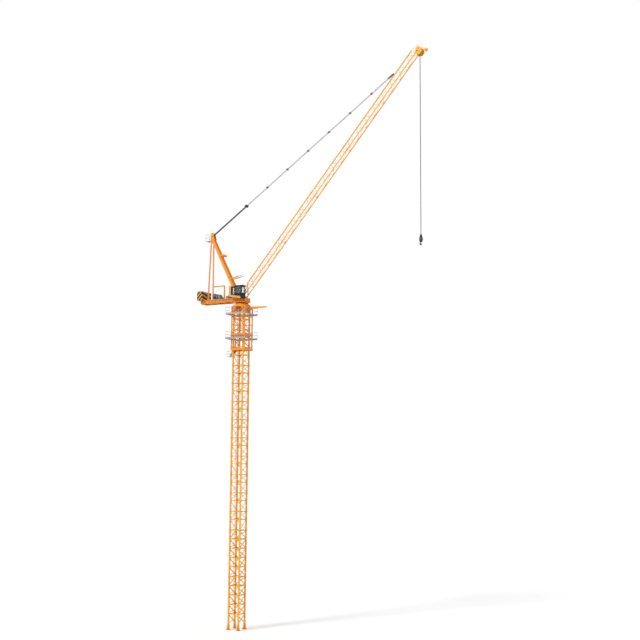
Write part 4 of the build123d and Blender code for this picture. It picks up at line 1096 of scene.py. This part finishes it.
def yoke_shoe():
    """Cheeks, web and pin under the climbing yoke, where it seats on the mast."""
    shape = Shape()
    low = node_box("climbing_ram")[0]
    foot, head = low.z - YOKE_DROP, low.z + YOKE_TAPER
    cheek = [(2, low.z + YOKE_RISE), (4, foot), (18, foot), (20, low.z + YOKE_RISE)]
    for side in SIDES:
        plate(shape, [(low.x + x, side * YOKE_CHEEK, z) for x, z in cheek], YOKE_CHEEK_WIDTH)
    x, narrow = low.x + YOKE_MIDDLE, YOKE_HALF - YOKE_TAPER
    web = [(-YOKE_HALF, head), (YOKE_HALF, head), (narrow, foot + 4), (-narrow, foot + 4)]
    plate(shape, [(x, y, z) for y, z in web], YOKE_WEB)
    pin = (x, -YOKE_CHEEK - YOKE_PIN_OUT, low.z - YOKE_TAPER)
    lathe(shape, pin, ACROSS, [(6, 0), (7, 2), (7, 88), (6, 90)], 20)
    place("yoke_shoe", shape, "mast", "red_paint")


def winch_details(name, winch, drum):
    """Wound rope, end caps, flange ribs, foot bolts and the motor's fins."""
    x, z = winch
    radius, length, rim = drum
    rope = Shape()
    wound = length - 2 * WINDING_RADIUS
    helix(rope, (x, 0, z), radius + WINDING_RADIUS * WINDING_SINK, wound, WINDING_PITCH, WINDING_RADIUS)
    place(name + "_rope", rope, "upper_works", "drum_rope")
    shape = Shape()
    outside = length / 2 + 2 * DRUM_FLANGE
    cap = [(14, 0), (14, 4), (11, 6), (6, 6.5)]
    for side in SIDES:
        lathe(shape, (x, side * outside, z), (0, side, 0), cap, 24)
        bolt_circle(shape, (x, side * (outside + 4), z), side, 10, 8, 1.5)
        flange = Vector((x, side * (length / 2 + DRUM_FLANGE), z))
        for k in range(DRUM_RIBS):
            a = 2 * pi * k / DRUM_RIBS
            if sin(a) > RIB_CUT:
                out = Vector((rim * cos(a), 0, rim * sin(a)))
                bar(shape, flange + out * RIB_SHARES[0], flange + out * RIB_SHARES[1], RIB_WIDTH)
    end, axis = -outside - MOTOR_REACH, z - MOTOR_DROP
    fin = [(19.8, 0), (21.5, 0.2), (21.5, 1.6), (19.8, 1.8)]
    for k in range(MOTOR_FINS):
        lathe(shape, (x, end + 2 + FIN_PITCH * k, axis), ACROSS, fin, 28)
    lathe(shape, (x, end, axis), -ACROSS, [(16, 0), (15, 3), (8, 4), (8, 6), (4, 6.5)], 24)
    for foot in SIDES:
        for side in SIDES:
            bolt(shape, (x + foot * (rim - 5), side * (outside - 8), FLOOR_TOP + DRUM_FLANGE), UP, 2.4)
    place(name + "_details", shape, "upper_works", "dark_steel")


def hoist_drive():
    """Gearbox and finned motor ahead of the hoist drum."""
    shape = Shape()
    x0, z = HOIST_WINCH[0] + HOIST_DRUM[2] + DRIVE_GAP, FLOOR_TOP
    near, far = DRIVE_WIDTH
    rings = []
    for lift, inset in DRIVE_LAYERS:
        rear, front = x0 + inset, x0 + DRIVE_LENGTH - inset
        low, high = near + inset, far - inset
        corners = [(rear, low), (front, low), (front, high), (rear, high)]
        rings.append(shape.ring([(x, y, z + lift) for x, y in corners]))
    shape.skin(rings)
    fins = repeat(7, 6, [(20, 4), (22, 4.6), (22, 7), (20, 7.6)])
    motor = [(12, 0), (20, 2)] + fins + [(20, 48), (14, 52)]
    lathe(shape, (x0 + DRIVE_MOTOR[0], far, z + DRIVE_MOTOR[1]), ACROSS, motor, 28)
    for x in (x0 - DRIVE_GAP, x0 + DRIVE_LENGTH + DRIVE_GAP):
        for y in (near + 10, far - 10):
            bolt(shape, (x, y, z), UP, 2.2)
    place("hoist_drive", shape, "upper_works", "winch_steel")


def girder_stiffeners():
    """Web stiffeners on both faces of the deck girders."""
    shape = Shape()
    low, high = DECK_BOTTOM + STIFFENER_GAP, DECK_TOP - STIFFENER_GAP
    first = DECK_REAR + STIFFENER_INSET
    pitch = (DECK_FRONT - STIFFENER_INSET - first) / (STIFFENERS - 1)
    for k in range(STIFFENERS):
        x = first + k * pitch
        for girder in (-GIRDER_Y, GIRDER_Y):
            for face in SIDES:
                y = girder + face * STIFFENER_OUT
                panel(shape, (x, y - STIFFENER_HALF, low), (x, y + STIFFENER_HALF, high), STIFFENER_THICKNESS)
    place("girder_stiffeners", shape, "upper_works", "girder_paint")


def deck_grating():
    """Grating strips along both sides of the deck, beside the winches."""
    shape = Shape()
    inner, outer = WALKWAY
    for near, far in ((-outer, -inner), (inner, outer)):
        floor_bars(shape, SLAB_FRONT + WALKWAY_GAP, WALKWAY_FRONT, near, far, FLOOR_TOP)
    place("deck_grating", shape, "upper_works", "grey_steel")


def slab_details():
    """Lifting eyes on the counterweight slabs and the nuts of the rods that clamp the stack."""
    shape = Shape()
    bow = [(EYE_RADIUS * cos(pi * n / 8), EYE_RADIUS * sin(pi * n / 8)) for n in range(9)]
    for k in range(SLAB_COUNT):
        x = SLAB_FRONT - SLAB_THICKNESS / 2 - k * SLAB_PITCH
        for y in (-EYE_SPACING / 2, EYE_SPACING / 2):
            tube(shape, [(x, y + v, SLAB_TOP + w) for v, w in bow], EYE_WIRE)
    rear = SLAB_FRONT - (SLAB_COUNT - 1) * SLAB_PITCH - SLAB_THICKNESS
    for side in SIDES:
        for drop in CLAMP_DROPS:
            y, z = side * CLAMP_SPACING / 2, SLAB_TOP - drop
            bolt(shape, (SLAB_FRONT, y, z), ALONG, CLAMP_NUT)
            bolt(shape, (rear, y, z), -ALONG, CLAMP_NUT)
    place("slab_details", shape, "upper_works", "dark_steel")


def cab_seat():
    """Driver's padded seat on its post, between two control stands."""
    shape, base = Shape(), Shape()
    y, floor = CAB_MIDDLE, CAB_FLOOR
    cushion(shape, Vector((20, y, floor + SEAT_RISE)), ALONG, ACROSS, SEAT_SIZE)
    lean = Vector((BACKREST_LEAN, 0, 1)).normalized()
    cushion(shape, Vector((-17, y, floor + BACKREST_RISE)), ACROSS, lean, BACKREST_SIZE)
    seat = place("cab_seat", shape, "upper_works", "cloth")
    lathe(base, (18, y, floor - 6), UP, [(16, 0), (16, 3), (6, 5), (6, 40), (10, 48)], 20)
    bar(base, (2, y, floor + 44), (-17, y, floor + 66), 12, 3, hint=ACROSS)
    for side in SIDES:
        stand = y + side * STAND_SPACING / 2
        bar(base, (22, stand, floor - 6), (22, stand, floor + 52), 11, 26, hint=ALONG)
        tube(base, [(28, stand, floor + 52), (31, stand, floor + 68)], 1.4)
        lathe(base, (31, stand, floor + 66), (0.2, 0, 1), [(1.5, 0), (3.4, 3), (3.4, 6), (1.6, 9)], 12)
    place("cab_controls", base, "upper_works", "dark_paint")


def cab_lining():
    """Trim panel with pressed ribs inside the cab's far wall."""
    shape = Shape()
    y = CAB_FAR - LINING_GAP
    low, high = FLOOR_TOP + 20, CAB_ROOF - 6
    panel(shape, (LINING_REAR, y, low), (LINING_FRONT, y, high), 2)
    for k in range(LINING_RIBS):
        x = LINING_REAR + (k + 0.5) * (LINING_FRONT - LINING_REAR) / LINING_RIBS
        bar(shape, (x, y - 1.6, low + 8), (x, y - 1.6, high - 8), 6, 2, hint=ALONG)
    place("cab_lining", shape, "upper_works", "dark_paint")


def cab_blind():
    """Slatted blind behind the cab's narrow side window."""
    shape = Shape()
    y = CAB_NEAR + BLIND_DEPTH
    low, high = FLOOR_TOP + 48, CAB_ROOF - 24
    for k in range(BLIND_SLATS):
        z = low + (k + 0.5) * (high - low) / BLIND_SLATS
        near, far = (y - 1, z - SLAT_RISE), (y + 1, z + SLAT_RISE)
        corners = [(BLIND_REAR, *near), (BLIND_FRONT, *near), (BLIND_FRONT, *far), (BLIND_REAR, *far)]
        plate(shape, corners, 0.8)
    for x in (BLIND_REAR + 4, BLIND_FRONT - 4):
        tube(shape, [(x, y, low), (x, y, high)], 0.5, 6)
    place("cab_blind", shape, "upper_works", "blind_paint")


def cab_details():
    """Door frame and handle, wiper and roof lamp."""
    shape = Shape()
    face, sill, y = CAB_NEAR - 1, FLOOR_TOP + 14, CAB_MIDDLE
    for x in (DOOR_REAR, DOOR_FRONT):
        bar(shape, (x, face, sill), (x, face, CAB_ROOF - 8), DOOR_FRAME)
    bar(shape, (DOOR_REAR, face, sill), (DOOR_FRONT, face, sill - 10), DOOR_FRAME)
    handle = [(-8, face - 1), (-8, face - 5), (8, face - 5), (8, face - 1)]
    tube(shape, [(*spot, FLOOR_TOP + HANDLE_RISE) for spot in handle], 1.3)
    tube(shape, [(CAB_FRONT - 1, y, FLOOR_TOP + 60), (CAB_FRONT - 4, y + 10, FLOOR_TOP + 108)], 1.2, 6)
    bar(shape, (CAB_FRONT - 3, y - 4, FLOOR_TOP + 88), (CAB_FRONT - 6, y + 22, FLOOR_TOP + 128), 2.0)
    lathe(shape, (CAB_FRONT - 34, y, CAB_ROOF + 13), UP, [(9, 0), (9, 2), (6, 3), (6, 9), (4, 12)], 18)
    place("cab_details", shape, "upper_works", "dark_steel")


def cabinet_details():
    """Doors with louvres and handles, and the roof plate of the switch cabinet."""
    shape = Shape()
    low, high = node_box("switch_cabinet")
    y = low.y - DOOR_PLATE / 2
    middle = (low.x + high.x) / 2
    for x0, x1 in ((low.x + 2, middle - 1), (middle + 1, high.x - 2)):
        panel(shape, (x0, y, low.z + DOOR_GAP), (x1, y, high.z - DOOR_GAP), DOOR_PLATE)
        for k in range(LOUVRES):
            z = high.z - 14 - LOUVRE_PITCH * k
            bar(shape, (x0 + 5, y - 1, z), (x1 - 5, y - 1, z), 1.6)
    handle = [(y - 1, low.z + 24), (y - 4, low.z + 25), (y - 4, low.z + 35), (y - 1, low.z + 36)]
    for side in SIDES:
        tube(shape, [(middle + 4 * side, *spot) for spot in handle], 0.9, 6)
    roof = high.z + CABINET_ROOF / 2
    panel(shape, (low.x - 2, low.y - 3, roof), (high.x + 2, high.y, roof), CABINET_ROOF)
    place("cabinet_details", shape, "upper_works", "grey_paint")


def frame_steps():
    """Step irons up the rear of the near A-frame leg, and the splice plates on both legs."""
    steps, plates = Shape(), Shape()
    way = (leg_point(1, 1) - leg_point(1, 0)).normalized()
    back = upward(way).normalized()
    half = ACROSS * STEP_HALF
    for k in range(STEP_COUNT):
        spot = leg_point(-1, STEP_START + STEP_PITCH * k) + back * (LEG_DEPTH / 2)
        out = spot + back * STEP_REACH
        tube(steps, [spot - half, out - half, out + half, spot + half], STEP_WIRE, 6)
    long, wide = SPLICE_SIZE
    for side in SIDES:
        outer = ACROSS * (side * SPLICE_OUT)
        for level in SPLICE_LEVELS:
            spot = leg_point(side, level)
            corners = [(-long, -wide), (long, -wide), (long, wide), (-long, wide)]
            plate(plates, [spot + outer + way * a + back * b for a, b in corners], 3)
            for a in (-22, -8, 8, 22):
                for b in (-9, 9):
                    bolt(plates, spot + outer * 1.12 + way * a + back * b, (0, side, 0), 1.8)
    place("frame_steps", steps, "upper_works", "grey_steel")
    place("frame_splices", plates, "upper_works", "orange_paint")


def tie_flanges():
    """Channel lips along both rear ties."""
    shape = Shape()
    for side in SIDES:
        foot = Vector((TIE_FOOT[0], side * TIE_FOOT[1], TIE_FOOT[2]))
        top = Vector((TIE_TOP[0], side * TIE_TOP[1], TIE_TOP[2]))
        for x in (ALONG * -TIE_HALF, ALONG * TIE_HALF):
            bar(shape, foot + x, top + x, *TIE_LIP, hint=ALONG)
    place("tie_flanges", shape, "upper_works", "orange_paint")


def head_sheaves():
    """Row of grooved sheaves on the A-frame head's shaft, with its end caps."""
    shape = Shape()
    for y in fall_offsets():
        sheave(shape, (HEAD[0], y, HEAD[2]), HEAD_SHEAVE, ROPE_PITCH - SHEAVE_GAP, 2.6)
    for side in SIDES:
        lathe(shape, (HEAD[0], side * HEAD_CHEEK, HEAD[2]), (0, side, 0), [(9, 0), (9, 1.6), (6, 2.2)], 24)
    lathe(shape, (HEAD[0], -HEAD_CHEEK, HEAD[2]), ACROSS, [(6, 0), (6, 2 * HEAD_CHEEK)], 24)
    piece = place("head_sheaves", shape, "upper_works", "dark_steel")
    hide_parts("a_frame_sheave")


def line_ends():
    """The luffing line's start at the head sheave, its direction, and its pin on the jib."""
    pin = jib_point(PENDANT_ANCHOR, 0, PENDANT_RISE)
    head = Vector(HEAD)
    lean = atan2(pin.z - head.z, pin.x - head.x)
    start = head + Vector((-sin(lean), 0, cos(lean))) * (HEAD_SHEAVE + ROPE_RADIUS + ROPE_GAP)
    return start, (pin - start).normalized(), pin


def luffing_rope():
    """Straight falls between the head sheaves and the luffing block, as one loose piece."""
    start, run, _ = line_ends()
    end = start + run * ROPE_RUN
    shape = Shape()
    cut = Vector((cos(radians(ROPE_CUT)), 0, sin(radians(ROPE_CUT))))
    up = upward(cut) / run.dot(cut)
    outline = strands(ROPE_RADIUS, 18, 3, 0.86)
    for y in fall_offsets():
        rings = []
        for spot in (start, end):
            rings.append(shape.ring([spot + ACROSS * (y + u) + up * v for u, v in outline]))
        shape.skin(rings)
    piece = loose("luffing_falls", shape, "wire_rope")
    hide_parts("luffing_rope")
    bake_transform(piece)


def pivot_details():
    """Keeper plates and bolts on the jib's foot pins."""
    shape = Shape()
    for side in SIDES:
        for ear in SIDES:
            spot = Vector(PIVOT) + ACROSS * (side * JIB_HALF + ear * PIVOT_CAP)
            lathe(shape, spot, (0, ear, 0), [(9, 0), (9, 2), (7, 3)], 24)
            bolt_circle(shape, spot + ACROSS * (ear * 2.6), ear, 6, 4, 1.2)
    place("pivot_caps", shape, "upper_works", "dark_steel")


def jib_stops():
    """Telescopic stops with collars and a pale rod, and stout buffers with ribbed pads."""
    shape, rods = Shape(), Shape()
    rise = Vector((cos(radians(STOP_ANGLE)), 0, sin(radians(STOP_ANGLE))))
    stop = [(7, 0), (9, 2), (9, 20), (11, 22), (11, 30), (9.6, 32)]
    stop += [(9.6, 128), (11.4, 130), (11.4, 142), (6, 145)]
    buffer = [(12, 0), (15, 3), (15, 16), (20, 20)]
    buffer += repeat(3, 14, [(20, 22), (18.2, 24), (18.2, 30), (20, 32)])
    buffer += [(19, 68), (13, 76), (5, 78)]
    for side in SIDES:
        spot = leg_point(side, STOP_LEVEL) + ALONG * STOP_START
        lathe(shape, spot, rise, stop, 24)
        lathe(rods, spot + rise * STOP_ROD, rise, [(4, 0), (4, 66), (7, 68), (7, 74), (5, 76)], 20)
        lathe(shape, leg_point(side, BUFFER_LEVEL) + ALONG * BUFFER_START, ALONG, buffer, 28)
    piece = place("stops_and_buffers", shape, "upper_works", "orange_paint")
    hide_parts("jib_stops")
    place("stop_rods", rods, "upper_works", "grey_steel")


def block_details():
    """Luffing block: two cheek plates, a row of sheaves and the pendants' crosshead."""
    start, run, _ = line_ends()
    seat = start + run * (ROPE_RUN + ROPE_GAP)
    shaft, head = seat + run * BLOCK_SHAFT, seat + run * CROSSHEAD
    up = upward(run)
    shape = Shape()
    cheek = [(0, -10), (10, -16), (40, -16), (50, -9), (50, 9), (40, 16), (10, 16), (0, 10)]
    for side in SIDES:
        y = ACROSS * (side * BLOCK_CHEEK)
        plate(shape, [seat + y + run * a + up * b for a, b in cheek], 5)
        lathe(shape, shaft + y * 1.1, (0, side, 0), [(7, 0), (7, 1.6), (5, 2.4)], 20)
    lathe(shape, shaft - ACROSS * BLOCK_HALF, ACROSS, [(5, 0), (5, 2 * BLOCK_HALF)], 20)
    bar(shape, head - ACROSS * CROSSHEAD_HALF, head + ACROSS * CROSSHEAD_HALF, 11, 14)
    for y in fall_offsets():
        sheave(shape, shaft + ACROSS * y, BLOCK_SHEAVE, ROPE_PITCH - SHEAVE_GAP, 2.4)
    piece = place("luffing_sheaves", shape, "jib", "dark_steel")
    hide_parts("luffing_block")


def pendant_details():
    """Links and pins between the pendant bars, and their end fittings on the jib."""
    start, run, pin = line_ends()
    first = start + run * (ROPE_RUN + ROPE_GAP + BLOCK_LENGTH)
    up = upward(run)
    shape = Shape()
    length = (pin - first).length
    for k in range(1, PENDANT_BARS):
        knot = first + run * (length * k / PENDANT_BARS)
        for side in SIDES:
            for a in (-LINK_PIN, LINK_PIN):
                spot = knot + run * a + ACROSS * (side * PENDANT_SPACING / 2)
                bolt(shape, spot + up * LINK_TOP, up, 2.2)
                bolt(shape, spot - up * LINK_TOP, -up, 2.2)
            spot = knot + ACROSS * (side * LINK_OUT)
            bar(shape, spot - run * KNOT_REACH, spot + run * KNOT_REACH, *KNOT_SIZE)
    for side in SIDES:
        spot = pin + ACROSS * (side * LINK_OUT)
        bar(shape, spot - run * FITTING_REACH, spot + run * FITTING_END, *FITTING_SIZE)
        for a in FITTING_BOLTS:
            bolt(shape, spot - run * a + ACROSS * (side * FITTING_SIZE[0] / 2), (0, side, 0), 3.0)
    place("pendant_pins", shape, "jib", "dark_steel")


def jib_joints(pins, boxes):
    """Connecting pins and boxes at the joints between jib sections."""
    way = jib_way()
    pitch = (JIB_END - JIB_START) / JIB_SECTIONS
    side = axes(way, ACROSS)[0]
    for k in range(1, JIB_SECTIONS):
        for y, h in ((-JIB_HALF, 0), (JIB_HALF, 0), (0, JIB_HEIGHT)):
            spot = jib_point(JIB_START + k * pitch, y, h)
            for out in (side, -side, ACROSS, -ACROSS):
                face = spot + out * ((JIB_CHORD + SPLICE_BOX) / 2)
                bolt(pins, face - way * SPLICE_PIN, out, 3.0)
                bolt(pins, face + way * SPLICE_PIN, out, 3.0)
            reach = way * SPLICE_REACH
            bar(boxes, spot - reach, spot + reach, JIB_CHORD + SPLICE_BOX, hint=ACROSS)


def jib_strips(shape):
    """Flat strips along the outer faces of the chords, between the joints."""
    pitch = (JIB_END - JIB_START) / JIB_SECTIONS
    for k in range(JIB_SECTIONS):
        first, last = JIB_START + k * pitch + STRIP_GAP, JIB_START + (k + 1) * pitch - STRIP_GAP
        for side in SIDES:
            for y, h in ((JIB_HALF + JIB_CHORD / 2, 0), (JIB_CHORD / 2, JIB_HEIGHT)):
                start, end = jib_point(first, side * y, h), jib_point(last, side * y, h)
                bar(shape, start, end, STRIP_THICKNESS, STRIP_WIDTH)


def jib_fittings():
    """Section joints, chord strips, and gussets where the lacing meets the lower chords."""
    pins, gussets = Shape(), Shape()
    jib_joints(pins, gussets)
    jib_strips(gussets)
    panel_length = (JIB_END - JIB_START) / JIB_SECTIONS / JIB_PANELS
    for k in range(JIB_SECTIONS * JIB_PANELS):
        for side in SIDES:
            lean = Vector((0, -side * JIB_HALF, JIB_HEIGHT)).normalized()
            foot = 1 if (k + (side < 0)) % 2 else -1
            s = JIB_START + (k + 0.5 + foot / 2) * panel_length
            corners = [jib_point(s + a, side * JIB_HALF + lean.y * b, lean.z * b) for a, b in LACING_GUSSET]
            plate(gussets, corners, STRIP_THICKNESS)
    place("jib_pins", pins, "jib", "grey_steel")
    place("jib_gussets", gussets, "jib", "jib_paint")


def tip_details():
    """Grooved head sheaves on their pin."""
    shape = Shape()
    centre = jib_point(JIB_LENGTH, 0, 0)
    for side in SIDES:
        sheave(shape, centre + ACROSS * (side * HOIST_SPACING / 2), TIP_SHEAVE, LINE_SHEAVE_WIDTH, 3.0)
        lathe(shape, centre + ACROSS * (side * TIP_CHEEK), (0, side, 0), [(10, 0), (10, 2), (7, 3)], 24)
    lathe(shape, centre - ACROSS * TIP_CHEEK, ACROSS, [(6, 0), (6, 2 * TIP_CHEEK)], 24)
    piece = place("tip_sheaves", shape, "jib", "dark_steel")
    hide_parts("jib_head_sheave")


def tip_rope():
    """Rope over the head sheaves: one line runs down the jib, and the other ends in a socket."""
    centre = jib_point(JIB_LENGTH, 0, 0)
    radius = TIP_SHEAVE + HOIST_RADIUS + ROPE_GAP
    half, back = HOIST_SPACING / 2, JIB_ANGLE + 90
    plumb, rope, socket = Shape(), Shape(), Shape()
    for y in (-half, half):
        tube(plumb, wrap(centre, y, radius, 0, TIP_WRAP), HOIST_RADIUS)
        points = wrap(centre, y, radius - WRAP_SINK, back - LUFF_RANGE, back)
        end = points[-1] - jib_way() * SOCKET_BACK
        if y < 0:
            end = jib_point(0, y, FOOT_SHEAVE + HOIST_RADIUS + ROPE_GAP)
        tube(rope, points + [end], HOIST_RADIUS)
    place("tip_wrap", plumb, "hoist_line", "wire_rope")
    place("jib_rope", rope, "jib", "wire_rope")
    cone = [(4.2, 0), (4.6, 4), (6.4, 16), (6.4, 20), (4, 22)]
    lathe(socket, jib_point(JIB_LENGTH - SOCKET_BACK + 8, half, radius), -jib_way(), cone, 16)
    beam, end = JIB_LENGTH - SOCKET_BACK - 6, JIB_HALF - 3
    bar(socket, jib_point(beam, -end, SOCKET_LEVEL), jib_point(beam, end, SOCKET_LEVEL), 8, 8)
    bar(socket, jib_point(beam, half, SOCKET_LEVEL), jib_point(beam, half, radius), 8, 6, hint=ACROSS)
    place("rope_socket", socket, "jib", "dark_steel")


def foot_sheaves():
    """Sheave on the jib's foot axis that leads the rope down through a bush in the deck."""
    shape, rope = Shape(), Shape()
    axis = Vector(PIVOT)
    radius = FOOT_SHEAVE + HOIST_RADIUS + ROPE_GAP
    shaft = [(5, 0), (6, 1), (6, 2 * FOOT_SHAFT - 1), (5, 2 * FOOT_SHAFT)]
    lathe(shape, axis - ACROSS * FOOT_SHAFT, ACROSS, shaft, 24)
    y = -HOIST_SPACING / 2
    sheave(shape, axis + ACROSS * y, FOOT_SHEAVE, LINE_SHEAVE_WIDTH, 2.4)
    for side in SIDES:
        lathe(shape, axis + ACROSS * (side * FOOT_SHAFT), (0, -side, 0), [(9, 0), (9, 20), (7, 24)], 24)
    foot = Vector((axis.x - radius, y, FLOOR_TOP))
    tube(rope, wrap(axis, y, radius, FOOT_WRAP, 180) + [foot], HOIST_RADIUS)
    lathe(shape, foot, UP, [(7.4, 0), (7.4, 3), (5.6, 6), (4, 6)], 20)
    place("foot_sheaves", shape, "upper_works", "dark_steel")
    place("foot_rope", rope, "upper_works", "wire_rope")


def lamp_details():
    """Lens of the lamp at the jib tip, and the bow over the jib head."""
    way, up = jib_way(), upward(jib_way())
    centre = jib_point(JIB_LENGTH + LAMP[0], 0, LAMP[1])
    pane, arch = Shape(), Shape()
    long, wide = LENS_SIZE
    corners = [(-long, -wide), (long, -wide), (long, wide), (-long, wide)]
    rings = []
    for lift, share in LENS_LAYERS:
        middle = centre - up * lift
        rings.append(pane.ring([middle + way * (a * share) + ACROSS * (b * share) for a, b in corners]))
    pane.skin(rings)
    place("lamp_lens", pane, "jib", "lens")
    points = []
    for k in range(ARCH_STEPS + 1):
        a = pi * k / ARCH_STEPS
        points.append(jib_point(ARCH_START + ARCH_LENGTH * sin(a), 0, ARCH_MIDDLE + ARCH_RISE * cos(a)))
    tube(arch, points, ARCH_RADIUS)
    place("lamp_arch", arch, "jib", "pale_steel")


def hoist_rope():
    """Two falls of laid rope from the head sheave to the hook block."""
    shape = Shape()
    length = HOIST_TOP - BLOCK_TOP - ROPE_GAP
    for y in (-HOIST_SPACING / 2, HOIST_SPACING / 2):
        rings = []
        for k in range(HOIST_STEPS + 1):
            z = HOIST_TOP - length * k / HOIST_STEPS
            outline = strands(HOIST_RADIUS, 12, 2, 0.84, k * HOIST_TWIST)
            rings.append(shape.ring([(HOIST_X + u, y + v, z) for u, v in outline]))
        shape.skin(rings)
    piece = loose("hoist_falls", shape, "wire_rope")
    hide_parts("hoist_rope")
    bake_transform(piece)


def hook_block():
    """Tapered cover over a round weight with bolted bands, and the swivel's housing."""
    cover, weight, housing = Shape(), Shape(), Shape()
    spot = Vector((HOIST_X, 0, BLOCK_FOOT))
    lathe(cover, spot, UP, [(22, 50), (22.6, 52), (21.5, 56), (13.6, 95), (13, 100), (9, 100)], 40)
    bands = repeat(2, 14, [(30, 8), (30, 14), (28.8, 15), (28.8, 21)])
    profile = [(12, 0), (24, 0), (28, 3)] + bands + [(30, 36), (30, 43), (28, 48), (22, 50)]
    lathe(weight, spot, UP, profile, 40)
    for k in range(BAND_BOLTS):
        a = 2 * pi * (k + 0.5) / BAND_BOLTS
        way = Vector((cos(a), sin(a), 0))
        for level in BAND_LEVELS:
            bolt(weight, spot + way * BAND_RADIUS + UP * level, way, 1.6)
    profile = [(16, 3), (25, 2), (26, -2), (26, -9), (22, -15), (14, -18), (9, -18)]
    lathe(housing, spot, UP, profile, 36)
    for side in SIDES:
        lathe(housing, spot + Vector((0, side * 24, -5)), (0, side, 0), [(6, 0), (6, 4), (4.6, 5.4)], 20)
    place("hook_housing", housing, "lower_block", "dark_steel")
    place("block_cover", cover, "lower_block", "dark_paint")
    piece = place("block_weight", weight, "lower_block", "copper_paint")
    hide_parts("hook_block")


def hook_thickness(share):
    """Half the forging's depth from the shank round to the point."""
    if share < 0.8:
        return 7.0 + 3.0 * sin(pi * min(1, share * 1.25))
    return 6.6 * (1.02 - share) / 0.22 + 1.4


def hook():
    """Forged hook with a tapered bowl, and its sprung latch."""
    shape = Shape()
    centre = Vector((HOIST_X, 0, BLOCK_FOOT - HOOK_DROP))
    lathe(shape, centre + UP * 17, UP, [(7, 0), (8, 6), (12, 8), (14, 12), (14, 24), (12, 27)], 24)
    rings = []
    for k in range(HOOK_STEPS + 1):
        share = k / HOOK_STEPS
        a = radians(90 + HOOK_SWEEP * share)
        thick = hook_thickness(share)
        point = centre + Vector((HOOK_RADIUS * cos(a), 0, HOOK_RADIUS * sin(a) - 1))
        side, up = axes((-sin(a), 0, cos(a)), ACROSS)
        outline = [(thick * u, thick * 0.82 * v) for u, v in circle(1.0, 16)]
        rings.append(shape.ring([point + side * u + up * v for u, v in outline]))
    shape.skin(rings)
    bar(shape, centre + Vector((2, 0, 13)), centre + Vector((15, 0, 2)), 4, 2)
    piece = place("forged_hook", shape, "swivel_hook", "dark_steel")
    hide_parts("hook")


MATERIALS = make_materials()
make_camera()
make_light()
make_floor()
dress_nodes()
mast_pins()
mast_ties()
mast_gussets()
mast_ladder()
foot_bolts()
ring_gear()
platform_details("upper_platform_details", UPPER_FLOOR)
platform_details("lower_platform_details", LOWER_FLOOR)
hydraulic_details()
yoke_shoe()
winch_details("hoist_winch", HOIST_WINCH, HOIST_DRUM)
winch_details("luffing_winch", LUFF_WINCH, LUFF_DRUM)
hoist_drive()
girder_stiffeners()
deck_grating()
slab_details()
cab_seat()
cab_lining()
cab_blind()
cab_details()
cabinet_details()
frame_steps()
tie_flanges()
head_sheaves()
luffing_rope()
pivot_details()
jib_stops()
block_details()
pendant_details()
jib_fittings()
tip_details()
tip_rope()
foot_sheaves()
lamp_details()
hoist_rope()
hook_block()
hook()
bpy.context.view_layer.update()
